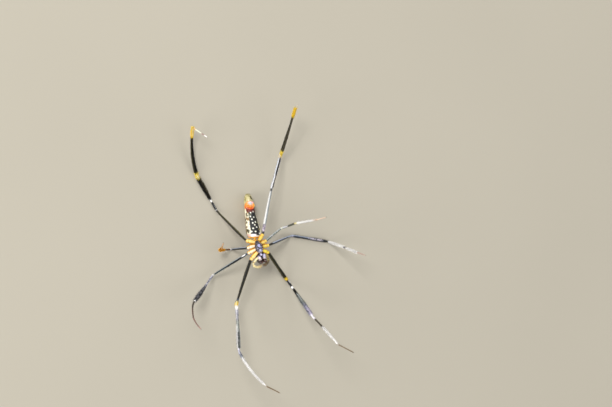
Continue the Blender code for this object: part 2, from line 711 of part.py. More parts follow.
def build_spinnerets():
    """Low mound with three pairs of silk nozzles and the small knob behind them."""
    frame = mound_frame()
    base = GAP - POCKET_DEPTH

    def mound(long, angle, radius):
        height = base + MOUND_HEIGHT * max(0.0, long) ** 0.8
        return Vector((MOUND_RADIUS * radius * math.cos(angle), MOUND_RADIUS * radius * math.sin(angle), height))

    piece = add_object("spinnerets", shaped_ball(mound, 20, 10), "spinneret", frame)
    nozzles = []
    for across, ahead, thickness, length in SPINNERETS.values():
        for sign in (-1.0, 1.0):
            foot = Vector((sign * across, -ahead, base + 0.25))
            tip = Vector((sign * across * 0.55, -ahead * 0.5, base + 0.25 + length))
            share_radii = [thickness * factor for factor in (1.0, 1.02, 0.62, 0.3)]
            line = [foot.lerp(tip, share) for share in (0.0, 0.5, 0.88, 1.0)]
            nozzles.append(add_object("nozzle", tube(line, share_radii, 2), "spinneret", frame))
    knob = bmesh.new()
    bmesh.ops.create_uvsphere(knob, u_segments=10, v_segments=6, radius=0.55)
    bmesh.ops.translate(knob, vec=(0.0, 2.1, base + 0.8), verts=knob.verts)
    nozzles.append(add_object("nozzle", knob, "spinneret", frame))
    apply_boolean(piece, nozzles, "UNION")


PEDICEL_PROFILE = ((0.0, 0.8), (0.5, 0.6), (1.0, 0.85))
PEDICEL_HEIGHT = -3.2


def build_pedicel(frame):
    """Short stalk between the front body and the abdomen."""
    start = frame @ Vector((0.0, CARAPACE_REAR + GAP, PEDICEL_HEIGHT))
    top = abdomen_middle(ABDOMEN_FRONT)
    end = Vector((abdomen_sway(ABDOMEN_FRONT), ABDOMEN_FRONT - GAP, top + 0.4))
    back = frame.to_3x3() @ Vector((0.0, -1.0, 0.0))
    bm = limb_mesh(Limb(start, end), PEDICEL_PROFILE, 1.0, 5, 2, (start, back), (end, Vector((0.0, 1.0, 0.0))))
    add_object("pedicel", bm, "abdomen")


clear_scene()
BODY = bpy.data.collections.new("orb_weaver")
bpy.context.scene.collection.children.link(BODY)


def main():
    """Build every node of the spider."""
    frame = head_frame()
    draw = random.Random(BRISTLE_SEED)
    build_eyes(build_carapace(frame), frame)
    build_mouthparts(frame)
    build_jaws(frame)
    build_abdomen()
    build_spinnerets()
    build_pedicel(frame)
    for side in ("left", "right"):
        for pair in (1, 2, 3, 4):
            build_leg(side, pair, frame, draw)


main()
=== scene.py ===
"""Looks of a golden silk orb weaver that lies on its back on a pale floor, at life size.

Lengths are in millimetres and angles in degrees until a piece is made, which turns them into metres. Every
skin is a grid of points: one direction runs round the piece and the other along it. The map OFBake holds, for
each skin and for the hair on it, the share of the way round and along, so both carry the same markings.
"""
from __future__ import annotations

import logging
import math
from dataclasses import dataclass, field, replace
from enum import Enum
from functools import partial
from typing import Callable, Sequence

import bpy
import numpy as np
from mathutils import Matrix, Vector


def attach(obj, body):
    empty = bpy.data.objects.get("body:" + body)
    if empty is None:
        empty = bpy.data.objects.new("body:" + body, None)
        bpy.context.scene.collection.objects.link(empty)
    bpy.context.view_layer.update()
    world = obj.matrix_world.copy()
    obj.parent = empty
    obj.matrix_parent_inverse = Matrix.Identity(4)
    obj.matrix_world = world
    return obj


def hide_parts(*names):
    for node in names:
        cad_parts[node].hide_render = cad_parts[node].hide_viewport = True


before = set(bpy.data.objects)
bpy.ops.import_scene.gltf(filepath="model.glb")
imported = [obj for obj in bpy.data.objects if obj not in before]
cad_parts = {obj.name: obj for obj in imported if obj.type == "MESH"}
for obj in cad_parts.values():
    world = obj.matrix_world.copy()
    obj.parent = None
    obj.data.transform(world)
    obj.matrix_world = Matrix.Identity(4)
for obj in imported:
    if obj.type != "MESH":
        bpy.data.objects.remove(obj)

LOG = logging.getLogger("orb_weaver")
MM = 0.001
SEED = 41
UV_NAME = "OFBake"
Colour = tuple[float, float, float]
Places = Sequence[tuple[float, float]]
Array = np.ndarray

BLACK = (0.009, 0.008, 0.006)
CHARCOAL = (0.016, 0.017, 0.019)
STEEL = (0.055, 0.068, 0.092)
GREENISH = (0.15, 0.17, 0.14)
# Olive: painted sheen, laid in stripes along the edges of black femurs and metatarsi.
OLIVE_SHEEN = (0.085, 0.075, 0.02)
LILAC = (0.42, 0.41, 0.52)
PALE_LILAC = (0.84, 0.79, 0.86)
SHEEN = (0.46, 0.52, 0.63)
SILVER = (0.8, 0.78, 0.8)
WHITE = (0.97, 0.955, 0.93)
# Straw: painted highlight, laid along the top of yellow knee and joint bands.
PALE_YELLOW_HIGHLIGHT = (1.0, 0.93, 0.58)
YELLOW = (1.0, 0.72, 0.055)
JOINT_YELLOW = (1.0, 0.8, 0.13)
HIP_YELLOW = (0.9, 0.57, 0.04)
# Hip gold: the right hips' yellow, darkened as painted shade.
SHADED_HIP_YELLOW = (0.52, 0.35, 0.03)
ORANGE = (0.8, 0.27, 0.02)


class Side(Enum):
    """Left and right of the animal: the value is the sign of the sideways direction."""

    LEFT = -1.0
    RIGHT = 1.0

    @property
    def word(self) -> str:
        """The side as a word in a piece's name."""
        return self.name.lower()

    def mirror(self, places: Sequence) -> Array:
        """Places of the right side, carried over to this side."""
        return np.array(places) * (self.value, 1.0, 1.0)


class Segment(Enum):
    """Segments of a leg, from the body to the foot."""

    COXA = "coxa"
    FEMUR = "femur"
    TIBIA = "tibia"
    METATARSUS = "metatarsus"
    TARSUS = "tarsus"


class Hair(Enum):
    """Kinds of hair.

    A value holds the shortest and longest length, the flattest and steepest rise above the skin in degrees,
    the radius at the root, and how far the tip bends towards the lie as a share of the length.
    """

    LEG = (0.35, 0.85, 14.0, 38.0, 0.014, 0.12)
    SPINE = (1.0, 1.8, 28.0, 48.0, 0.035, 0.05)
    TUFT = (0.5, 1.15, 12.0, 40.0, 0.024, 0.06)
    SHIELD = (0.45, 0.9, 6.0, 22.0, 0.016, 0.05)
    PLATE = (0.5, 1.0, 20.0, 45.0, 0.015, 0.08)
    PLATE_EDGE = (0.5, 1.0, -6.0, 14.0, 0.015, 0.08)
    BRISTLE = (0.3, 0.75, 18.0, 45.0, 0.013, 0.08)
    PALP = (0.6, 1.1, 20.0, 40.0, 0.016, 0.08)
    ABDOMEN = (0.3, 0.7, 14.0, 40.0, 0.012, 0.08)
    FRINGE = (0.3, 0.6, 20.0, 60.0, 0.014, 0.05)


def unit(vectors: Array) -> Array:
    """Vectors in the last axis, scaled to length one."""
    return vectors / np.maximum(np.linalg.norm(vectors, axis=-1, keepdims=True), 1e-12)


def ease(low: float, high: float, value: Array) -> Array:
    """Smooth step: 0 below low, 1 above high, and 3 t squared less 2 t cubed between them."""
    share = np.clip((value - low) / (high - low), 0.0, 1.0)
    return share * share * (3.0 - 2.0 * share)


def bell(value: Array, middle: float, width: float) -> Array:
    """Bell curve of height one: the exponential of minus the square of the distance from middle in widths."""
    return np.exp(-(((value - middle) / width) ** 2))


def blunt(long: Array, power: float | Array) -> Array:
    """Half width of a barrel with blunt ends: (1 less |long| to a power) to the inverse of that power."""
    return (1.0 - np.abs(long) ** power).clip(0.0) ** (1.0 / power)


def squared(wave: Array, power: float) -> Array:
    """Sine or cosine raised to a power below 1 with its sign kept, which squares a ring."""
    return np.sign(wave) * np.abs(wave) ** power


def span(first: float, last: float, long: Array) -> Array:
    """Place between first and last for a long share from -1 to 1."""
    return (first + last) / 2.0 + (last - first) / 2.0 * long


def between(first: Array, last: Array, share: Array) -> Array:
    """Straight line from first to last: first plus the difference times each share."""
    return first + (last - first) * share[:, None]


def profile(pairs: Places, share: Array) -> Array:
    """Radius at each share, straight between (share, radius) pairs."""
    return np.interp(share, *zip(*pairs))


def rows_at(at: Array, known: Array, values: Array) -> Array:
    """Vectors kept at known lengths, read at other lengths along a line."""
    return np.stack([np.interp(at, known, values[:, axis]) for axis in range(3)], axis=-1)


def ring(across: Array, above: Array, angle: Array) -> Array:
    """Ring at each point: across times the cosine plus above times the sine, points by angles by 3."""
    return across[:, None] * np.cos(angle)[None, :, None] + above[:, None] * np.sin(angle)[None, :, None]


def turn_about(axis: str, degrees: float) -> Matrix:
    """Turn about one axis."""
    return Matrix.Rotation(math.radians(degrees), 3, axis)


def heading(bearing: float, climb: float) -> Array:
    """Unit vector for a bearing from straight ahead towards +X and a climb above the floor."""
    turn, rise = math.radians(bearing), math.radians(climb)
    return np.array([math.cos(rise) * math.sin(turn), -math.cos(rise) * math.cos(turn), math.sin(rise)])


@dataclass(frozen=True)
class HeadFrame:
    """Frame of the front body: it starts at the belly side of the waist, and -Y is forward."""

    waist: tuple[float, float, float] = (-0.63, -16.78, 15.4)
    turn: float = 18.0
    dip: float = 5.0

    def matrix(self) -> Array:
        """Turn about Z after a dip about X, as a 3 by 3 array."""
        return np.array(turn_about("Z", self.turn) @ turn_about("X", self.dip))

    def place(self, points: Sequence | Array) -> Array:
        """Points of the front body's own frame, in the object's frame."""
        return np.asarray(points) @ self.matrix().T + np.array(self.waist)


HEAD = HeadFrame()
FORWARD = HEAD.matrix() @ np.array([0.0, -1.0, 0.0])


@dataclass
class Skin:
    """A grid of points closed round one way, with a point that closes each end.

    Fields: points is rows by columns by 3, start and end are the closing points, and along is each row's
    share of the way along. The map's seam runs between the last column and the first.
    """

    points: Array
    start: Array
    end: Array
    along: Array

    def normals(self) -> Array:
        """Outward unit normals of the grid: the way round crossed with the way along, turned outwards.

        Returns:
            Normals, rows by columns by 3.
        """
        round_way = np.roll(self.points, -1, axis=1) - np.roll(self.points, 1, axis=1)
        normal = unit(np.cross(round_way, np.gradient(self.points, axis=0)))
        outward = self.points - self.points.mean(axis=1, keepdims=True)
        return normal * (np.sign(np.mean(np.sum(normal * outward, axis=-1))) or 1.0)

    def mesh_object(self, name: str) -> bpy.types.Object:
        """Closed mesh of the grid, with its map of shares round and along.

        Args:
            name: Name of the piece.
        Returns:
            The new object, linked to the scene.
        """
        rows, around = self.points.shape[:2]
        column, low, last = np.arange(around), np.arange(rows - 1)[:, None], rows - 1

        def corner(row: Array | int, on: int) -> Array:
            """Point number and map place of every column of a row, some columns on."""
            return np.stack(np.broadcast_arrays(row * around + (column + on) % around, (column + on) / around,
                                                self.along[row]), -1)

        def pole(number: int, along: float) -> Array:
            """Point number of a closing point, with a map place in the middle of every column."""
            return np.stack(np.broadcast_arrays(number, (column + 0.5) / around, along), -1)

        quads = np.stack([corner(low, 0), corner(low, 1), corner(low + 1, 1), corner(low + 1, 0)], axis=2)
        start = pole(rows * around, self.along[0] - 0.002)
        end = pole(rows * around + 1, self.along[-1] + 0.002)
        fans = np.concatenate([np.stack([corner(0, 1), corner(0, 0), start], axis=1),
                               np.stack([corner(last, 0), corner(last, 1), end], axis=1)])
        corners = np.concatenate([quads.reshape(-1, 3), fans.reshape(-1, 3)])
        starts = np.concatenate([np.arange(last * around) * 4, last * around * 4 + np.arange(len(fans)) * 3])
        points = np.concatenate([self.points.reshape(-1, 3), [self.start, self.end]])
        return new_object(name, points, corners[:, 0], starts, corners[:, 1:], smooth=True)


def new_object(name: str, points: Array, corners: Array, starts: Array, uv: Array,
               smooth: bool) -> bpy.types.Object:
    """Object in metres from arrays of points, face corners, face starts and a map.

    Args:
        name: Name of the piece.
        points: Points in millimetres; what would sink below the floor is laid on it.
        corners: Point number of each face corner.
        starts: First corner of each face.
        uv: Map place of each corner.
        smooth: Whether the faces are shaded smooth.
    Returns:
        The new object, linked to the scene.
    """
    laid = np.array(points, dtype=np.float64)
    laid[:, 2] = np.maximum(laid[:, 2], 0.0)
    mesh = bpy.data.meshes.new(name)
    mesh.vertices.add(len(laid))
    mesh.vertices.foreach_set("co", (laid * MM).astype(np.float32).ravel())
    mesh.loops.add(len(corners))
    mesh.loops.foreach_set("vertex_index", corners.astype(np.int32))
    mesh.polygons.add(len(starts))
    mesh.polygons.foreach_set("loop_start", starts.astype(np.int32))
    mesh.update(calc_edges=True)
    mesh.uv_layers.new(name=UV_NAME).data.foreach_set("uv", uv.astype(np.float32).ravel())
    mesh.validate()
    if smooth:
        mesh.shade_smooth()
    return link(name, mesh)


def link(name: str, data: bpy.types.ID) -> bpy.types.Object:
    """New object of some data, linked to the scene.

    Args:
        name: Name of the object.
        data: Its mesh, lamp or camera.
    Returns:
        The object.
    """
    made = bpy.data.objects.new(name, data)
    bpy.context.scene.collection.objects.link(made)
    return made


def shaped_skin(shape: Callable[[Array, Array], Array], rows: int, around: int, seam: float = -90.0) -> Skin:
    """Skin of a ball whose points are moved by shape(long, angle), its rings closer together near its poles.

    Args:
        shape: Place for a long share from -1 to 1 and an angle.
        rows: Number of rings.
        around: Number of points in a ring.
        seam: Angle of the first column in degrees.
    Returns:
        The skin, its rows from the pole at -1 to the pole at 1.
    """
    polar = np.linspace(0.0, math.pi, rows + 2)[1:-1]
    angle = math.radians(seam) + np.arange(around) * math.tau / around
    long, turned = np.meshgrid(-np.cos(polar), angle, indexing="ij")
    start, end = (shape(np.array([[pole]]), angle[None, :1])[0, 0] for pole in (-1.0, 1.0))
    return Skin(shape(long, turned), start, end, (long[:, 0] + 1.0) / 2.0)


@dataclass
class Path:
    """A line of points with directions beside and above it, for tubes and for what grows on them."""

    points: Array
    reference: tuple[float, float, float] = (0.0, 0.0, 1.0)

    def __post_init__(self) -> None:
        """Work out lengths and directions: side is the run crossed with the reference, lift the third."""
        steps = np.linalg.norm(np.diff(self.points, axis=0), axis=1)
        self.length_at = np.concatenate([[0.0], np.cumsum(steps)])
        self.length = float(self.length_at[-1])
        self.run = unit(np.gradient(self.points, axis=0))
        self.side = unit(np.cross(self.run, self.reference))
        self.lift = np.cross(self.side, self.run)

    def tube(self, radius: Array, around: int) -> Skin:
        """Tube along the line: each ring is the point plus the radius along side and lift by cosine and sine.

        Args:
            radius: Radius at each point of the line.
            around: Number of points in a ring.
        Returns:
            The skin, closed in a point 0.3 radii before its start and one 0.5 radii past its end.
        """
        angle = np.arange(around) * math.tau / around - math.pi / 2.0
        points = self.points[:, None] + radius[:, None, None] * ring(self.side, self.lift, angle)
        start = self.points[0] - self.run[0] * radius[0] * 0.3
        end = self.points[-1] + self.run[-1] * radius[-1] * 0.5
        return Skin(points, start, end, self.length_at / self.length)

    def places(self, radius: Array, at: Array, angle: Array) -> tuple[Array, Array, Array]:
        """Places on the tube: the point plus the radius times the unit normal, which goes round by the angle.

        Args:
            radius: Radius at each point of the line.
            at: Lengths along the line.
            angle: Angles round it.
        Returns:
            The places, their normals and the directions of the line there.
        """
        middle, side, lift, run = (rows_at(at, self.length_at, values)
                                   for values in (self.points, self.side, self.lift, self.run))
        out = unit(side * np.cos(angle)[:, None] + lift * np.sin(angle)[:, None])
        return middle + out * np.interp(at, self.length_at, radius)[:, None], out, unit(run)


def smooth_line(points: Array, reach: int) -> Array:
    """Line with its corners rounded: a weighted mean over neighbours, the ends carried on straight.

    Args:
        points: The line's points.
        reach: Number of neighbours on each side.
    Returns:
        As many points.
    """
    weights = np.hanning(2 * reach + 3)[1:-1]
    before = points[0] + (points[0] - points[1]) * np.arange(reach, 0, -1)[:, None]
    after = points[-1] + (points[-1] - points[-2]) * np.arange(1, reach + 1)[:, None]
    padded = np.concatenate([before, points, after])
    weights /= weights.sum()
    return np.stack([np.convolve(padded[:, axis], weights, mode="valid") for axis in range(3)], axis=-1)


def curve_through(knots: Array, count: int) -> Array:
    """Smooth line through knots: straight between them at equal steps, then a weighted mean over neighbours.

    Args:
        knots: The places that the line passes near.
        count: Number of points.
    Returns:
        The line's points.
    """
    reach = np.concatenate([[0.0], np.cumsum(np.linalg.norm(np.diff(knots, axis=0), axis=1))])
    line = rows_at(np.linspace(0.0, reach[-1], count), reach, knots)
    return smooth_line(line, max(2, count // (2 * len(knots))))


def adds(operation: str, reflected: bool = False) -> Callable[..., Wire]:
    """Method of a wire that adds a Math node.

    Args:
        operation: The node's operation.
        reflected: Whether the other value comes first.
    Returns:
        The method.
    """

    def method(self: Wire, other: Value = 0.0) -> Wire:
        """Math node on the wire and another value."""
        pair = (other, self) if reflected else (self, other)
        return self.recipe.node("ShaderNodeMath", {"operation": operation}, dict(enumerate(pair)))

    return method


class Wire:
    """A socket in a material. The operators add Math nodes and give the wire of their result."""

    __add__, __radd__ = adds("ADD"), adds("ADD", True)
    __sub__, __rsub__ = adds("SUBTRACT"), adds("SUBTRACT", True)
    __mul__, __rmul__ = adds("MULTIPLY"), adds("MULTIPLY", True)
    __pow__, size, larger, smaller = adds("POWER"), adds("ABSOLUTE"), adds("MAXIMUM"), adds("MINIMUM")

    def __init__(self, recipe: Recipe, socket: bpy.types.NodeSocket) -> None:
        """Keep the material's recipe and the socket."""
        self.recipe, self.socket = recipe, socket

    def step(self, low: float, high: float) -> Wire:
        """Smooth step of the value between low and high; with low above high it falls instead of rising."""
        return self.recipe.node("ShaderNodeMapRange", {"interpolation_type": "SMOOTHSTEP"},
                                {"Value": self, "From Min": low, "From Max": high})

    def band(self, low: float, high: float, soft: float) -> Wire:
        """One between low and high, zero outside, with soft edges."""
        return self.step(low - soft, low + soft) * self.step(high + soft, high - soft)


Value = Wire | float | Colour


class Recipe:
    """The node tree of one material, with one method that adds any node."""

    def __init__(self, name: str, roughness: float, coat: float = 0.0, specular: float = 0.5) -> None:
        """Start a Principled material.

        Args:
            name: Name of the material.
            roughness: Roughness where nothing is linked to it.
            coat: Weight of the clear coat.
            specular: Level of the plain reflection.
        """
        self.material = bpy.data.materials.new(name)
        self.material.use_nodes = True
        self.tree = self.material.node_tree
        self.inputs = self.tree.nodes["Principled BSDF"].inputs
        for key, value in (("Roughness", roughness), ("Coat Weight", coat), ("Coat Roughness", 0.12),
                           ("Specular IOR Level", specular)):
            self.inputs[key].default_value = value

    def node(self, kind: str, settings: dict[str, object], inputs: dict[int | str, Value],
             output: int | str = 0) -> Wire:
        """Add a node.

        Args:
            kind: Type of the node.
            settings: Its own settings, set before its sockets; "stops" holds a ramp's positions and colours.
            inputs: Values or wires of its sockets.
            output: The socket to return.
        Returns:
            The wire of the output.
        """
        made = self.tree.nodes.new(kind)
        for key, value in settings.items():
            if key != "stops":
                setattr(made, key, value)
                continue
            elements = made.color_ramp.elements
            while len(elements) > 1:
                elements.remove(elements[-1])
            elements[0].position, elements[0].color = value[0][0], (*value[0][1], 1.0)
            for position, colour in value[1:]:
                elements.new(position).color = (*colour, 1.0)
        for key, value in inputs.items():
            self.feed(made.inputs[key], value)
        return Wire(self, made.outputs[output])

    def feed(self, socket: bpy.types.NodeSocket, value: Value) -> None:
        """Link a wire to a socket, or set the socket's own value.

        Args:
            socket: The socket.
            value: Wire, number, colour or vector.
        """
        if isinstance(value, Wire):
            self.tree.links.new(value.socket, socket)
        elif isinstance(value, tuple) and len(socket.default_value) == 4:
            socket.default_value = (*value, 1.0)
        else:
            socket.default_value = value

    def mix(self, share: Value, first: Value, second: Value, blend: str = "MIX") -> Wire:
        """Colour that goes from first to second as share goes from 0 to 1."""
        settings = {"data_type": "RGBA", "blend_type": blend}
        return self.node("ShaderNodeMix", settings, {0: share, 6: first, 7: second}, 2)

    def tint(self, share: Value, colour: Value, by: Colour) -> Wire:
        """Colour multiplied by another one, as far as share goes."""
        return self.mix(share, colour, by, "MULTIPLY")

    def ramp(self, stops: Sequence[tuple[float, Colour]], share: Wire) -> Wire:
        """Colour from a ramp's stops."""
        return self.node("ShaderNodeValToRGB", {"stops": stops}, {0: share})

    def place(self) -> Wire:
        """Object coordinates."""
        return self.node("ShaderNodeTexCoord", {}, {}, "Object")

    def noise(self, scale: float, detail: float = 3.0) -> Wire:
        """Noise from 0 to 1 at a scale per metre."""
        return self.node("ShaderNodeTexNoise", {}, {"Vector": self.place(), "Scale": scale, "Detail": detail})

    def cells(self, scale: float) -> Wire:
        """Distance to the nearest of scattered points, at a scale per metre."""
        return self.node("ShaderNodeTexVoronoi", {}, {"Vector": self.place(), "Scale": scale})

    def parts(self, where: Wire) -> list[Wire]:
        """First two parts of a vector."""
        return [self.node("ShaderNodeSeparateXYZ", {}, {0: where}, axis) for axis in "XY"]

    def map_shares(self) -> list[Wire]:
        """Shares round and along, from the piece's own map."""
        return self.parts(self.node("ShaderNodeUVMap", {"uv_map": UV_NAME}, {}))

    def floor_place(self) -> list[Wire]:
        """Object coordinates across and ahead, in millimetres."""
        return [part * 1000.0 for part in self.parts(self.place())]

    def bump(self, height: Wire, distance: float) -> None:
        """Feed a height through a Bump node to the normal; distance is in millimetres."""
        inputs = {"Height": height, "Distance": distance * MM, "Strength": 1.0}
        self.feed(self.inputs["Normal"], self.node("ShaderNodeBump", {}, inputs, "Normal"))

    def finish(self, colour: Value, roughness: Value | None = None) -> bpy.types.Material:
        """Feed the colour, and the roughness where it varies.

        Args:
            colour: Base colour.
            roughness: Roughness, or None to leave it even.
        Returns:
            The material.
        """
        self.feed(self.inputs["Base Color"], colour)
        if roughness is not None:
            self.feed(self.inputs["Roughness"], roughness)
        return self.material


@dataclass(frozen=True)
class Cuticle:
    """Smooth horny skin: a colour with darker flecks, fine pits and a satin gloss."""

    name: str
    colour: Colour
    shade: Colour
    roughness: float = 0.3
    coat: float = 0.3
    fleck: float = 1400.0
    pit: float = 0.02

    def material(self) -> bpy.types.Material:
        """Material whose colour goes to the shade in soft patches, with pits from cells and noise.

        Returns:
            The material.
        """
        recipe = Recipe(self.name, self.roughness, self.coat)
        patches = recipe.noise(self.fleck, 4.0).step(0.35, 0.7)
        grain = recipe.noise(self.fleck * 6.0, 2.0)
        recipe.bump(recipe.cells(self.fleck * 5.0) * 0.6 + grain * 0.4, self.pit)
        colour = recipe.mix(patches * 0.8, self.colour, self.shade)
        return recipe.finish(colour, 0.1 * grain + (self.roughness - 0.05))


@dataclass(frozen=True)
class Accent:
    """A mark on a stretch of a leg: one along a side is mostly a painted highlight or a painted shade stripe,
    one that goes all round is the leg's own band or speckle.

    Fields: first and last are shares of the segment, around is the middle share of the way round, width is
    its half width there (2 goes all round), and blotch breaks the mark up into patches.
    """

    segment: Segment
    first: float
    last: float
    colour: Colour
    strength: float = 0.8
    around: float = 0.5
    width: float = 2.0
    blotch: bool = False


@dataclass(frozen=True)
class LegFinish:
    """Ringed cuticle of one leg: bands along it, accents, sides darkened as painted shade, bright hips, fine
    grooves and pores.

    Fields: stops are the ramp of the bands, accents are (start, end, mark) with shares of the whole leg,
    hip_end is the share where the hip ends, core and core_colour are the strength and colour of a painted
    highlight on the hip's top, rims are the (inner share, outer share, strength, colour) of painted shade at
    the edges of the hip, and flank tints the leg's sides as painted shade.
    """

    name: str
    stops: tuple[tuple[float, Colour], ...]
    accents: tuple[tuple[float, float, Accent], ...]
    hip_end: float
    core: float
    core_colour: Colour
    hairy: bool = False
    rims: tuple = ((0.11, 0.22, 0.9, (0.84, 0.3, 0.015)), (0.22, 0.3, 0.8, (0.26, 0.075, 0.008)))
    flank: Colour = (0.58, 0.62, 0.7)
    soft: float = 0.004

    def colour(self, recipe: Recipe) -> Wire:
        """Bands by the share along the leg, ragged by noise, then accents, painted shade on the sides and the
        hip's edges, and a painted highlight on the hip's top.

        Args:
            recipe: The material's recipe.
        Returns:
            The colour.
        """
        around, along = recipe.map_shares()
        ragged = along + (recipe.noise(1500.0, 3.0) - 0.5) * 0.008
        turned = around + (recipe.noise(900.0, 2.0) - 0.5) * 0.1
        patches = recipe.noise(820.0, 4.0).step(0.47, 0.53)
        base = recipe.ramp(self.stops, ragged)
        # Accents along one side are mostly painted highlights and painted shade stripes; those all round are
        # the leg's own marks.
        for low, high, accent in self.accents:
            share = ragged.band(low, high, self.soft) * accent.strength
            if accent.width < 1.0:
                share = share * (turned - accent.around).size().step(accent.width, accent.width * 0.45)
            base = recipe.mix(share * patches if accent.blotch else share, base, accent.colour)
        # Painted shade: the leg's sides are tinted darker and bluer, and the hip's sides turn orange, then
        # dark brown. Painted highlight: the hip's top turns pale.
        side = (turned - 0.5).size()
        hip = along.step(self.hip_end + 0.003, self.hip_end - 0.003)
        side_shaded = recipe.tint(side.step(0.26, 0.44) * 0.7, base, self.flank)
        for inner, outer, strength, tone in self.rims:
            side_shaded = recipe.mix(side.step(inner, outer) * hip * strength, side_shaded, tone)
        return recipe.mix(side.step(0.17, 0.05) * hip * self.core, side_shaded, self.core_colour)

    def material(self) -> bpy.types.Material:
        """Material of the skin, or of the hair, which is a little darker and duller than the skin.

        Returns:
            The material.
        """
        recipe = Recipe(self.name, 0.46 if self.hairy else 0.36, 0.0 if self.hairy else 0.1, 0.22)
        base = self.colour(recipe)
        streaks = recipe.noise(2600.0, 4.0)
        if self.hairy:
            light = recipe.mix(recipe.noise(3600.0, 1.0).step(0.58, 0.72) * 0.1, base, (0.5, 0.48, 0.46))
            return recipe.finish(recipe.tint(streaks.step(0.55, 0.35), light, (0.95, 0.94, 0.92)))
        recipe.bump(recipe.cells(5200.0) * 0.6 + streaks * 0.5, 0.03)
        dull = recipe.tint(streaks.step(0.5, 0.8) * 0.6, base, (0.55, 0.52, 0.5))
        bright = recipe.mix(recipe.noise(6500.0, 2.0).step(0.6, 0.75) * 0.06, dull, (0.5, 0.5, 0.56))
        return recipe.finish(bright, 0.24 * streaks + 0.24)


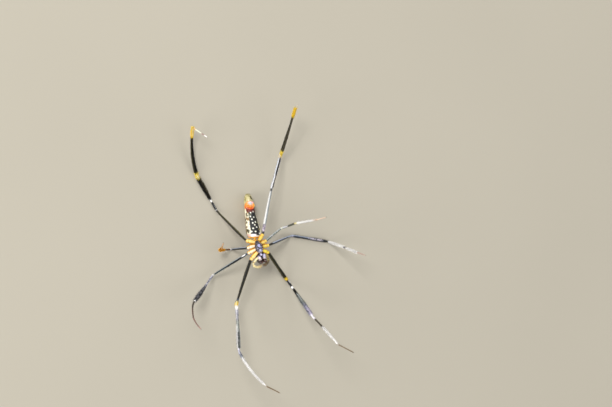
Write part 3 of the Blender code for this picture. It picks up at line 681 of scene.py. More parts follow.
@dataclass(frozen=True)
class AbdomenFinish:
    """Abdomen: black belly band with white spots, mottled cream flanks, pale band in front and olive tail.

    Fields: places are shares round and along the map, and aspect is the width of the map in its height.
    """

    name: str
    hairy: bool = False
    belly: float = 0.5
    aspect: float = 0.85
    spots: Places = (
        (0.522, 0.577), (0.558, 0.491), (0.535, 0.426), (0.539, 0.347), (0.564, 0.223), (0.618, 0.153),
        (0.432, 0.595), (0.46, 0.475), (0.458, 0.364), (0.501, 0.301), (0.469, 0.249), (0.528, 0.15),
        (0.435, 0.103))
    bruises: Places = (
        (0.705, 0.145), (0.69, 0.175), (0.735, 0.19), (0.655, 0.515), (0.675, 0.545), (0.71, 0.36),
        (0.74, 0.42))
    olive_spots: Places = ((0.41, 0.345), (0.43, 0.2), (0.56, 0.53))
    tail_marks: Places = ((0.383, 0.929), (0.36, 0.905), (0.342, 0.884))
    green_spots: Places = ((0.735, 0.813), (0.74, 0.79))

    def colour(self, recipe: Recipe) -> Wire:
        """Colour from the shares round and along: back, flanks, belly band, its spots, front and tail.

        Args:
            recipe: The material's recipe.
        Returns:
            The colour.
        """
        around, along = recipe.map_shares()
        fine, wobble = recipe.noise(900.0, 4.0) - 0.5, recipe.noise(380.0, 2.0) - 0.5
        here = recipe.node("ShaderNodeCombineXYZ", {}, {0: around * self.aspect, 1: along})
        uneven = (recipe.noise(1500.0, 3.0) - 0.5) * 0.016

        def spotted(under: Wire, places: Places, outer: float, inner: float, strength: float,
                    tone: Colour) -> Wire:
            """Colour with spots: full within inner of the nearest place and gone beyond outer.

            Args:
                under: The colour under them.
                places: Their places on the map.
                outer: Distance where a spot ends.
                inner: Distance to which it is full.
                strength: How much of the tone it has.
                tone: Its colour.
            Returns:
                The colour.
            """
            gaps = [recipe.node("ShaderNodeVectorMath", {"operation": "DISTANCE"},
                                {0: here, 1: (share * self.aspect, length, 0.0)}, "Value")
                    for share, length in places]
            least = gaps[0]
            for gap in gaps[1:]:
                least = least.smaller(gap)
            return recipe.mix((least + uneven).step(outer, inner) * strength, under, tone)

        off = (around - self.belly).size() + fine * 0.03
        back = recipe.mix(recipe.noise(520.0, 5.0).step(0.38, 0.62), (0.1, 0.055, 0.02), (0.27, 0.17, 0.06))
        stripe = (off + wobble * 0.03).band(0.455, 0.49, 0.01)
        stripe = (off + 0.05 * wobble).band(0.33, 0.375, 0.012).larger(stripe)
        back = recipe.mix(stripe * along.band(0.06, 0.86, 0.05), back, (0.72, 0.5, 0.1))
        blobs = recipe.noise(480.0, 5.0) + wobble * 0.25
        flank = recipe.mix(blobs.step(0.545, 0.605), (0.9, 0.85, 0.66), (0.22, 0.12, 0.035))
        flank = recipe.mix(fine.step(0.05, 0.14) * 0.4, flank, (0.74, 0.56, 0.22))
        body = recipe.mix((off + wobble * 0.06).step(0.29, 0.25), back, flank)
        body = spotted(body, self.bruises, 0.034, 0.02, 0.9, (0.055, 0.05, 0.018))
        edge = around + fine * 0.03
        band = (edge - (along * -0.27 + 0.448)).step(-0.012, 0.012)
        band = band * ((along * -0.09 + 0.649) - edge).step(-0.012, 0.012)
        dark = recipe.mix(recipe.noise(1500.0).step(0.5, 0.8), (0.008, 0.009, 0.01), (0.035, 0.032, 0.018))
        body = recipe.mix(band * along.step(0.05, 0.075), body, dark)
        foot = (along + fine * 0.01).band(0.588, 0.68, 0.008) * around.band(0.34, 0.66, 0.02)
        body = recipe.mix(foot, body, (0.13, 0.014, 0.01))
        glow = along.band(0.655, 0.765, 0.012) * around.band(0.6, 0.8, 0.02) * 0.85
        body = recipe.mix(glow, body, (0.88, 0.34, 0.04))
        body = spotted(body, self.olive_spots, 0.026, 0.012, 0.7, (0.2, 0.2, 0.07))
        body = spotted(body, self.spots, 0.021, 0.014, 1.0, (0.8, 0.8, 0.68))
        front = (along + fine * 0.02).step(0.106, 0.086) * (around + wobble * 0.05).band(0.53, 0.79, 0.03)
        pale = recipe.mix(around.step(0.62, 0.7), (0.86, 0.82, 0.83), (0.84, 0.55, 0.43))
        body = recipe.mix(front, body, pale)
        rim = recipe.mix(recipe.noise(700.0).step(0.4, 0.6), (0.9, 0.42, 0.04), HIP_YELLOW)
        body = recipe.mix((along + fine * 0.02).step(0.042, 0.026), body, rim)
        olive = recipe.mix(recipe.noise(900.0, 4.0).step(0.45, 0.6), (0.58, 0.52, 0.27), (0.38, 0.32, 0.12))
        olive = spotted(olive, self.tail_marks, 0.034, 0.02, 1.0, (0.035, 0.028, 0.012))
        body = recipe.mix((along + wobble * 0.04).step(0.775, 0.84), body, olive)
        return spotted(body, self.green_spots, 0.045, 0.02, 1.0, (0.72, 0.72, 0.18))

    def material(self) -> bpy.types.Material:
        """Material of the skin, or of the short hair on it.

        Returns:
            The material.
        """
        recipe = Recipe(self.name, 0.5 if self.hairy else 0.4, 0.0 if self.hairy else 0.12)
        base = self.colour(recipe)
        if self.hairy:
            return recipe.finish(recipe.mix(0.11, base, (0.55, 0.48, 0.36)))
        wrinkle = recipe.noise(1300.0, 6.0)
        recipe.bump(wrinkle * 0.7 + recipe.cells(2600.0) * 0.4, 0.06)
        return recipe.finish(base, 0.25 * wrinkle + 0.3)


@dataclass(frozen=True)
class SpinneretFinish:
    """Spinnerets: a pale painted highlight on top, then peach, then their own orange and red towards the
    front edge, which is dark red.
    """

    name: str
    centre: tuple[float, float]
    stops: tuple = (
        (0.0, (0.44, 0.55, 0.62)), (0.18, (0.62, 0.57, 0.56)), (0.29, (0.78, 0.47, 0.32)),
        (0.42, (0.84, 0.33, 0.07)), (0.66, (0.8, 0.21, 0.02)), (0.88, (0.7, 0.1, 0.012)),
        (0.98, (0.26, 0.022, 0.012)))
    reach: float = 0.265

    def material(self) -> bpy.types.Material:
        """Colour by the distance from the painted highlight's centre: the root of the sum of the squares
        across and ahead.

        Returns:
            The material.
        """
        recipe = Recipe(self.name, 0.28, 0.35)
        across, ahead = recipe.floor_place()
        noise = recipe.noise(1500.0, 4.0)
        # Painted highlight: the colour is palest round a place above the mound's middle and turns to orange
        # and red away from it.
        aside, forward = across - (self.centre[0] + 0.05), ahead - (self.centre[1] + 1.5)
        gap = (aside ** 2.0 * 0.8 + forward ** 2.0) ** 0.5 + (noise - 0.5) * 1.3
        colour = recipe.ramp(self.stops, gap * self.reach)
        pink = (aside + noise).step(1.0, 1.7) * (forward + noise).step(0.2, 0.9)
        colour = recipe.mix(pink * 0.8, colour, (0.8, 0.4, 0.52))
        rim = (aside + noise * 0.6).step(2.0, 2.6) * forward.step(0.2, -0.6)
        colour = recipe.mix(rim * 0.8, colour, (0.93, 0.52, 0.05))
        recipe.bump(recipe.noise(4200.0, 5.0), 0.05)
        return recipe.finish(colour, 0.2 * noise + 0.14)


@dataclass(frozen=True)
class BreastFinish:
    """Breast plate: black with pale lilac spots on its low humps, each a place and a radius."""

    name: str
    humps: tuple[tuple[float, float, float], ...]

    def material(self) -> bpy.types.Material:
        """Black cuticle; each hump is pale within its radius, with a ragged edge.

        Returns:
            The material.
        """
        recipe = Recipe(self.name, 0.3, 0.35)
        across, ahead = recipe.floor_place()
        noise = recipe.noise(1700.0, 4.0)
        colour = recipe.mix(noise.step(0.5, 0.8), (0.012, 0.011, 0.013), (0.04, 0.03, 0.03))
        for x, y, radius in self.humps:
            gap = ((across - x) ** 2.0 + (ahead - y) ** 2.0) ** 0.5 + (noise - 0.5) * 0.5
            colour = recipe.mix(gap.step(radius, radius * 0.6), colour, (0.42, 0.42, 0.66))
        recipe.bump(recipe.cells(5200.0) * 0.5 + noise * 0.6, 0.04)
        return recipe.finish(colour, 0.2 * noise + 0.2)


@dataclass(frozen=True)
class PlateFinish:
    """A plate or palp whose colour changes from its root to its tip, with dark joints."""

    name: str
    stops: tuple[tuple[float, Colour], ...]
    hairy: bool = False
    roughness: float = 0.32

    def material(self) -> bpy.types.Material:
        """Colour from the share along the piece, flecked with noise.

        Returns:
            The material.
        """
        recipe = Recipe(self.name, self.roughness, 0.0 if self.hairy else 0.3)
        along = recipe.map_shares()[1]
        noise = recipe.noise(2200.0, 4.0)
        base = recipe.ramp(self.stops, along + (noise - 0.5) * 0.06)
        if self.hairy:
            return recipe.finish(recipe.tint(1.0, base, (0.9, 0.88, 0.82)))
        recipe.bump(recipe.cells(5200.0) * 0.5 + noise * 0.6, 0.03)
        flecked = recipe.mix(noise.step(0.5, 0.85) * 0.25, base, (0.1, 0.06, 0.05))
        return recipe.finish(flecked, 0.2 * noise + 0.22)


@dataclass(frozen=True)
class ShieldFinish:
    """Back shield: dark brown cuticle under flat silvery hair; orange under the rim, brown at the jaws."""

    name: str
    hairy: bool = False

    def material(self) -> bpy.types.Material:
        """Brown where the noise is high and silver elsewhere; the hair has the same patches, brighter.

        Returns:
            The material.
        """
        recipe = Recipe(self.name, 0.5 if self.hairy else 0.42, 0.0 if self.hairy else 0.15)
        patches = recipe.noise(700.0, 5.0)
        silver = recipe.mix(recipe.noise(5200.0, 2.0).step(0.3, 0.7), (0.42, 0.4, 0.36), (0.66, 0.64, 0.58))
        brown = (0.3, 0.26, 0.2) if self.hairy else (0.09, 0.055, 0.03)
        colour = recipe.mix(patches.step(0.52, 0.66), silver, brown)
        if self.hairy:
            return recipe.finish(colour)
        around, along = recipe.map_shares()
        under = recipe.mix(patches.step(0.4, 0.6), (0.85, 0.46, 0.05), (0.6, 0.22, 0.02))
        under = recipe.mix(along.step(0.34, 0.24), under, (0.05, 0.025, 0.025))
        colour = recipe.mix((around - 0.5).size().step(0.225, 0.255), colour, under)
        recipe.bump(recipe.noise(6000.0, 3.0), 0.05)
        return recipe.finish(colour, 0.3 * patches + 0.3)


@dataclass
class Coat:
    """Many single hairs joined in one mesh: each is a three-sided spike with one bend and a flat outer side.

    Fields: draw is the seeded draw of the sub-assembly, and bend is the radius at the bend as a share of the
    radius at the root.
    """

    name: str
    material: bpy.types.Material
    draw: np.random.Generator
    bend: float = 0.72
    points: list[Array] = field(default_factory=list)
    uvs: list[Array] = field(default_factory=list)

    def grow(self, hair: Hair, roots: Array, out: Array, lie: Array, uv: Array,
             size: float | Array = 1.0) -> None:
        """Add hairs of one kind.

        A hair runs from its root along the lie times the cosine of its rise plus the normal times the sine;
        its middle is half way, and its tip sags back towards the lie.

        Args:
            hair: Kind of hair.
            roots: Places on the skin, one a row.
            out: Unit normals of the skin there.
            lie: Unit directions that the coat lies in.
            uv: Place of each root on the skin's map.
            size: Factor on each length.
        """
        shortest, longest, flattest, steepest, width, sag = hair.value
        length = (size * self.draw.uniform(shortest, longest, len(roots)))[:, None]
        rise = np.radians(self.draw.uniform(flattest, steepest, len(roots)))[:, None]
        way = unit(lie * np.cos(rise) + out * np.sin(rise))
        across = unit(np.cross(way, out + 0.01 * lie))
        angle = np.arange(3) * math.tau / 3.0 + math.pi / 2.0
        spike = ring(across, np.cross(way, across), angle) * width
        base, middle = roots - out * (width * 1.2), roots + way * length * 0.5
        tip = roots + way * length + lie * length * sag - out * length * sag * 0.6
        self.points.append(np.concatenate(
            [base[:, None] + spike, middle[:, None] + spike * self.bend, tip[:, None]], axis=1))
        spread = np.stack([np.cos(angle), np.sin(angle)], -1) * 0.0014
        spread = np.concatenate([spread, spread / 2.0, np.zeros((1, 2))])
        self.uvs.append(np.clip(uv[:, None] + spread, 0.0015, 0.9985))

    def grow_on(self, hair: Hair, skin: Skin, count: int, rows: tuple[int, int], columns: tuple[int, int],
                lie: Array, scatter: float = 0.0, size: tuple[float, float] = (1.0, 0.0),
                keep: Callable[[Array, Array], Array] | None = None) -> None:
        """Add hairs at random points of a skin's grid.

        Args:
            hair: Kind of hair.
            skin: The skin.
            count: Number of hairs, before any is left out.
            rows: First row, and the one after the last.
            columns: First column, and the one after the last.
            lie: Direction of the coat: one for all, or one a row.
            scatter: Spread of the direction, which then lies along the skin; 0 leaves it as it is.
            size: Factor on the length at the skin's start, and what it gains towards the end.
            keep: Tells from the places and the normals which hairs stay.
        """
        row, column = self.draw.integers(*rows, count), self.draw.integers(*columns, count)
        normals = skin.normals()
        if keep is not None:
            kept = keep(skin.points[row, column], normals[row, column])
            row, column = row[kept], column[kept]
        out, way = normals[row, column], np.broadcast_to(lie, (len(skin.points), 3))[row]
        if scatter:
            way = way + self.draw.normal(0.0, scatter, way.shape)
            way = unit(way - out * np.sum(way * out, axis=1, keepdims=True))
        uv = np.stack([column / skin.points.shape[1], skin.along[row]], -1)
        self.grow(hair, skin.points[row, column], out, way, uv, size[0] + size[1] * skin.along[row])

    def build(self) -> None:
        """Join the hairs into one piece that rides on the body."""
        points, uv = np.concatenate(self.points), np.concatenate(self.uvs)
        faces = [(0, 2, 1), (0, 1, 4, 3), (1, 2, 5, 4), (2, 0, 3, 5), (3, 4, 6), (4, 5, 6), (5, 3, 6)]
        pattern = np.concatenate(faces)
        first = np.cumsum([0] + [len(face) for face in faces[:-1]])
        each = np.arange(len(points))[:, None]
        piece = new_object(self.name, points.reshape(-1, 3), (each * points.shape[1] + pattern).ravel(),
                           (each * len(pattern) + first).ravel(), uv[:, pattern].reshape(-1, 2), smooth=False)
        piece.data.materials.append(self.material)
        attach(piece, "root")
        LOG.info("%s: %d hairs, %d triangles", self.name, len(points), len(points) * 10)


def dress(piece: bpy.types.Object, material: bpy.types.Material, slot: str, *nodes: str) -> None:
    """Give a piece its material and body, and hide the CAD nodes that it stands for.

    Args:
        piece: The piece.
        material: Its material.
        slot: Not used.
        nodes: CAD nodes that it stands for.
    """
    piece.data.materials.append(material)
    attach(piece, "root")
    if nodes:
        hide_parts(*nodes)
    LOG.info("%s: %d faces for %s", piece.name, len(piece.data.polygons), ", ".join(nodes) or "itself")


def join(parts: list[bpy.types.Object], name: str) -> bpy.types.Object:
    """Join objects into one.

    Args:
        parts: The objects.
        name: Name of the joined object.
    Returns:
        The joined object.
    """
    with bpy.context.temp_override(active_object=parts[0], selected_objects=parts,
                                   selected_editable_objects=parts):
        bpy.ops.object.join()
    parts[0].name = parts[0].data.name = name
    return parts[0]


@dataclass(frozen=True)
class LegPlan:
    """What one leg has of its own.

    Fields: pose holds the bearing and climb of each segment beyond the hip; core is the strength and colour
    of a painted highlight on the hip's top; bands are rows of first share, last share and colour for each
    segment; accents are rows for Accent; tufts are rows of segment, first share, last share, length, hairs
    per millimetre, and the share of the full length where the stretch begins; resting are the segments whose
    far end lies on the floor, which gives their climb; bows are sideways bows; and sway shifts the hip's
    outer end sideways.
    """

    pose: tuple[tuple[float, float], ...]
    core: tuple[float, Colour]
    bands: dict[Segment, tuple[tuple[float, float, Colour], ...]]
    accents: tuple[tuple, ...]
    tufts: tuple[tuple, ...]
    resting: tuple[Segment, ...] = ()
    bows: dict[Segment, float] = field(default_factory=dict)
    sway: float = -0.7


L, R = Side
C, F, T, M, A = Segment
HIPS = {1: ((1.85, 7.3), (5.6, 10.0)), 2: ((2.5, 5.3), (6.9, 5.8)), 3: ((2.3, 3.1), (6.2, 2.7)),
        4: ((1.55, 1.1), (5.5, -1.7))}
LENGTHS = {1: (27.2, 28.0, 27.5, 10.0), 2: (24.8, 23.3, 24.5, 8.4), 3: (15.8, 11.5, 13.8, 5.0),
           4: (26.8, 22.8, 30.0, 10.4)}
LIFT_BOW = {F: -0.5, T: 0.3, M: 0.5, A: 0.15}
REST_RADIUS = 0.55
STOP_GAP = 0.0008
HIP_FOLD = 0.76
PLAIN_HIP = {C: ((0.02, 0.02, ORANGE), (0.1, 0.66, HIP_YELLOW), (0.755, 0.755, (0.62, 0.2, 0.02)),
                 (0.82, 0.95, HIP_YELLOW), (1, 1, (0.16, 0.07, 0.012)))}
# Bands of the right hips: the same as the left, but darker from the body to the fold as painted shade.
SHADED_HIP = {C: ((0.02, 0.02, (0.4, 0.14, 0.015)), (0.1, 0.66, SHADED_HIP_YELLOW), (0.755, 0.755, (0.4, 0.13, 0.015)),
                (0.82, 0.95, HIP_YELLOW), (1, 1, (0.12, 0.05, 0.01)))}
# Accents along one side of a leg are mostly painted light: the sheen, olive and pale yellow stripes and the
# pale edges are painted highlights, and the grey and charcoal stripes down one side, as on the right hind
# leg, are painted shade; accents all round are the legs' own speckles. The white, silver and pale lilac bands
# are partly pale hair and partly painted glare, so a left leg and its right partner differ.
PLANS: dict[tuple[Side, int], LegPlan] = {
    (L, 1): LegPlan(
        ((-18.0, -9.5), (-5.0, 17.0), (28.5, 32.0), (54.5, 52.0)), (0.75, (0.98, 0.7, 0.32)), PLAIN_HIP | {
            F: ((0, 0.86, BLACK), (0.89, 0.91, STEEL), (0.935, 1, YELLOW)),
            T: ((0.03, 0.1, WHITE), (0.13, 0.3, (0.55, 0.54, 0.6)), (0.36, 0.55, (0.42, 0.44, 0.4)),
                (0.62, 0.92, (0.06, 0.07, 0.065)), (0.955, 1, LILAC)),
            M: ((0, 0.06, (0.6, 0.6, 0.68)), (0.09, 0.13, (0.34, 0.36, 0.42)), (0.2, 0.92, WHITE)),
            A: ((0.06, 0.9, (0.19, 0.13, 0.075)),)},
        ((F, 0.05, 0.85, OLIVE_SHEEN, 0.7, 0.63, 0.1), (F, 0.05, 0.85, OLIVE_SHEEN, 0.5, 0.28, 0.07),
         (T, 0.1, 0.6, STEEL, 0.8, 0.62, 0.1, True), (T, 0.14, 0.5, WHITE, 0.8, 0.3, 0.16, True),
         (T, 0.44, 0.97, WHITE, 0.9, 0.28, 0.15), (T, 0.55, 0.97, (0.45, 0.5, 0.47), 0.7, 0.72, 0.14),
         (F, 0.92, 1, PALE_YELLOW_HIGHLIGHT, 0.9, 0.4, 0.12), (T, 0.5, 0.98, SILVER, 0.35, 0.5, 2, True),
         (M, 0, 0.3, STEEL, 0.6, 0.58, 0.14, True)),
        ((F, 0.91, 1, 1.6, 180), (T, 0, 0.36, 1.3, 130), (T, 0.36, 0.92, 1.8, 160, 0.7),
         (M, 0.02, 0.9, 1.35, 150)),
        bows={M: 1.6}, sway=-1.6),
    (R, 1): LegPlan(
        ((43.2, -30.3), (24.0, 32.5), (25.0, 50.0), (57.5, 25.0)), (0.65, (0.72, 0.62, 0.08)), SHADED_HIP | {
            F: ((0, 0.89, BLACK), (0.9, 0.97, YELLOW)),
            T: ((0, 0.17, CHARCOAL), (0.196, 0.222, WHITE), (0.245, 0.42, BLACK),
                (0.46, 0.6, (0.27, 0.29, 0.27)), (0.7, 0.9, (0.46, 0.44, 0.55)), (0.95, 1, PALE_LILAC)),
            M: ((0.02, 0.08, PALE_LILAC), (0.12, 0.38, (0.07, 0.06, 0.045)), (0.42, 0.95, WHITE)),
            A: ((0.05, 1, (0.22, 0.16, 0.1)),)},
        ((F, 0.05, 0.86, OLIVE_SHEEN, 0.7, 0.34, 0.11), (F, 0.05, 0.86, OLIVE_SHEEN, 0.6, 0.62, 0.08),
         (T, 0, 0.1, SILVER, 0.8, 0.64, 0.12), (T, 0.4, 0.9, STEEL, 0.7, 0.5, 2, True),
         (T, 0.36, 0.62, (0.55, 0.58, 0.55), 0.8, 0.56, 0.2, True),
         (T, 0.74, 0.94, (0.7, 0.64, 0.78), 0.8, 0.54, 0.16)),
        ((F, 0.6, 0.97, 1.1, 120, 0.4), (T, 0.24, 0.93, 2.1, 150, 0.4), (M, 0.4, 0.7, 1.35, 190, 0.9),
         (M, 0.7, 0.97, 0.75, 150, 1.8)),
        resting=(F,), sway=-1.0),
    (L, 2): LegPlan(
        ((-56.5, -28.0), (-46.5, 27.0), (-44.0, 62.5), (23.0, 32.0)), (0.9, (0.98, 0.8, 0.6)), PLAIN_HIP | {
            F: ((0, 0.1, STEEL), (0.15, 0.94, CHARCOAL), (0.97, 1, WHITE)),
            T: ((0.03, 0.42, (0.18, 0.18, 0.23)), (0.48, 0.93, (0.05, 0.05, 0.055)), (0.97, 1, WHITE)),
            M: ((0.05, 0.5, (0.05, 0.038, 0.03)), (0.7, 1, (0.12, 0.07, 0.055))),
            A: ((0.1, 0.7, (0.22, 0.12, 0.1)), (0.9, 1, (0.45, 0.24, 0.2)))},
        ((F, 0.06, 0.16, WHITE, 0.8, 0.36, 0.16), (F, 0.16, 0.95, (0.36, 0.42, 0.44), 0.75, 0.31, 0.09),
         (F, 0.62, 0.95, (0.3, 0.4, 0.38), 0.6, 0.64, 0.08), (T, 0, 0.45, SILVER, 0.45, 0.5, 2, True),
         (T, 0.48, 0.92, (0.32, 0.31, 0.34), 0.75, 0.5, 2, True)),
        ((F, 0.95, 1, 0.9, 150), (T, 0.36, 0.93, 2.4, 170, 0.3)),
        bows={M: 1.5, A: 0.5}),
    (R, 2): LegPlan(
        ((104.0, -34.9), (79.0, 0.0), (55.5, 61.0), (50.5, 70.0)), (0.5, (0.74, 0.6, 0.14)), SHADED_HIP | {
            F: ((0, 0.16, CHARCOAL), (0.25, 0.9, STEEL)),
            T: ((0, 0.03, LILAC), (0.06, 0.45, STEEL), (0.5, 0.84, (0.13, 0.13, 0.16)),
                (0.88, 0.98, CHARCOAL)),
            M: ((0.03, 0.54, WHITE), (0.575, 0.62, (0.12, 0.11, 0.13)), (0.65, 1, WHITE)),
            A: ((0.12, 1, (0.5, 0.36, 0.3)),)},
        ((F, 0.16, 1, SHEEN, 0.85, 0.64, 0.12), (T, 0, 0.6, SHEEN, 0.9, 0.63, 0.13), (F, 0.85, 1, SHEEN, 0.5),
         (T, 0.42, 0.84, (0.78, 0.72, 0.78), 0.8, 0.56, 0.2, True)),
        ((T, 0.05, 0.92, 0.8, 120), (M, 0, 0.54, 1.45, 170), (M, 0.64, 1, 1.5, 170)),
        resting=(F, T)),
    (L, 3): LegPlan(
        ((-82.5, -66.0), (-90.0, 37.5), (-136.5, 73.5), (-149.5, 70.0)), (0.9, (0.98, 0.8, 0.66)),
        PLAIN_HIP | {
            F: ((0, 0.9, CHARCOAL),),
            T: ((0, 0.1, WHITE), (0.14, 0.5, (0.07, 0.035, 0.015)), (0.6, 1, (0.94, 0.5, 0.04))),
            M: ((0.05, 0.4, (0.9, 0.46, 0.06)), (0.55, 0.95, (0.66, 0.38, 0.16))),
            A: ((0, 1, (0.74, 0.46, 0.24)),)},
        ((F, 0.05, 0.95, SHEEN, 0.7, 0.33, 0.12), (T, 0.16, 0.45, ORANGE, 0.5, 0.5, 2, True)),
        ((T, 0.55, 1, 1.7, 240), (M, 0, 0.4, 1.7, 240)),
        resting=(F,)),
    (R, 3): LegPlan(
        ((119.0, -27.5), (116.5, 59.0), (99.0, 35.0), (105.5, 34.5)), (0.5, (0.8, 0.62, 0.22)), SHADED_HIP | {
            F: ((0, 0.93, GREENISH), (0.96, 1, WHITE)),
            T: ((0.03, 0.08, (0.75, 0.78, 0.62)), (0.14, 0.42, (0.42, 0.42, 0.46)),
                (0.5, 0.9, (0.13, 0.13, 0.1)), (0.96, 1, (0.9, 0.78, 0.36))),
            M: ((0.06, 0.7, WHITE), (0.95, 1, (0.85, 0.66, 0.5))),
            A: ((0.3, 1, (0.74, 0.55, 0.42)),)},
        ((F, 0, 0.95, (0.46, 0.52, 0.5), 0.7, 0.64, 0.12), (F, 0.2, 0.9, SILVER, 0.4, 0.5, 2, True),
         (T, 0.1, 0.5, WHITE, 0.7, 0.6, 0.12)),
        ((T, 0, 1, 0.7, 90), (M, 0, 0.95, 1.0, 160))),
    (L, 4): LegPlan(
        ((-145.5, -33.2), (-151.5, -0.5), (-171.5, 15.5), (49.5, 28.5)), (0.8, (0.96, 0.74, 0.3)),
        PLAIN_HIP | {
            F: ((0, 0.97, (0.02, 0.017, 0.012)),),
            T: ((0, 0.24, CHARCOAL), (0.265, 0.295, WHITE), (0.32, 0.885, BLACK), (0.91, 1, JOINT_YELLOW)),
            M: ((0, 0.055, JOINT_YELLOW), (0.075, 0.78, BLACK), (0.8, 1, YELLOW)),
            A: ((0.04, 0.16, (0.8, 0.5, 0.22)), (0.24, 0.55, (0.8, 0.82, 0.66)),
                (0.66, 0.76, (0.3, 0.17, 0.15)), (0.84, 1, WHITE))},
        ((F, 0.03, 0.95, OLIVE_SHEEN, 0.8, 0.44, 0.1), (T, 0.07, 0.19, WHITE, 0.8, 0.44, 0.08, True),
         (T, 0, 0.025, WHITE, 0.8), (T, 0.36, 0.9, (0.06, 0.045, 0.02), 0.7, 0.42, 0.12),
         (M, 0.08, 0.78, OLIVE_SHEEN, 0.7, 0.66, 0.08), (T, 0.92, 1, PALE_YELLOW_HIGHLIGHT, 0.9, 0.5, 0.18),
         (M, 0.82, 0.98, PALE_YELLOW_HIGHLIGHT, 0.5, 0.5, 0.14)),
        ((T, 0.31, 0.89, 2.3, 210, 0.65), (T, 0.9, 1, 2.1, 240), (M, 0, 0.055, 2.0, 240),
         (M, 0.07, 0.8, 1.4, 200, 1.15), (M, 0.8, 1, 1.9, 220)),
        resting=(F, T), bows={M: -1.9}),
    (R, 4): LegPlan(
        ((165.5, -3.0), (155.0, -19.0), (167.5, 23.5), (-131.5, 74.0)), (0.7, (0.9, 0.62, 0.14)), SHADED_HIP | {
            F: ((0, 0.04, CHARCOAL), (0.07, 0.17, (0.6, 0.5, 0.6)), (0.23, 0.94, (0.84, 0.83, 0.8)),
                (0.97, 1, CHARCOAL)),
            T: ((0.04, 0.9, (0.86, 0.85, 0.86)), (0.905, 0.925, (0.95, 0.84, 0.8)), (0.94, 1, JOINT_YELLOW)),
            M: ((0, 0.082, JOINT_YELLOW), (0.1, 0.8, (0.026, 0.022, 0.014)), (0.82, 1, YELLOW)),
            A: ((0.02, 0.3, YELLOW), (0.45, 1, (0.9, 0.82, 0.62)))},
        ((F, 0.06, 0.22, STEEL, 0.6, 0.5, 2, True), (F, 0.22, 0.96, (0.36, 0.4, 0.42), 0.9, 0.4, 0.17),
         (T, 0.03, 0.45, CHARCOAL, 1, 0.4, 0.15), (T, 0.4, 0.92, CHARCOAL, 1, 0.48, 0.15),
         (T, 0.93, 1, (1.0, 0.9, 0.8), 0.9, 0.68, 0.16), (T, 0.05, 0.91, (0.7, 0.78, 0.9), 0.6, 0.74, 0.1),
         (M, 0.1, 0.8, (0.14, 0.12, 0.07), 0.8, 0.54, 0.08)),
        ((F, 0.1, 0.97, 0.9, 120), (T, 0.03, 0.92, 1.0, 150), (T, 0.92, 1, 1.8, 220),
         (M, 0, 0.45, 1.2, 190, 1.5), (M, 0.45, 0.8, 0.8, 150, 1.4), (M, 0.8, 1, 2.0, 240))),
}


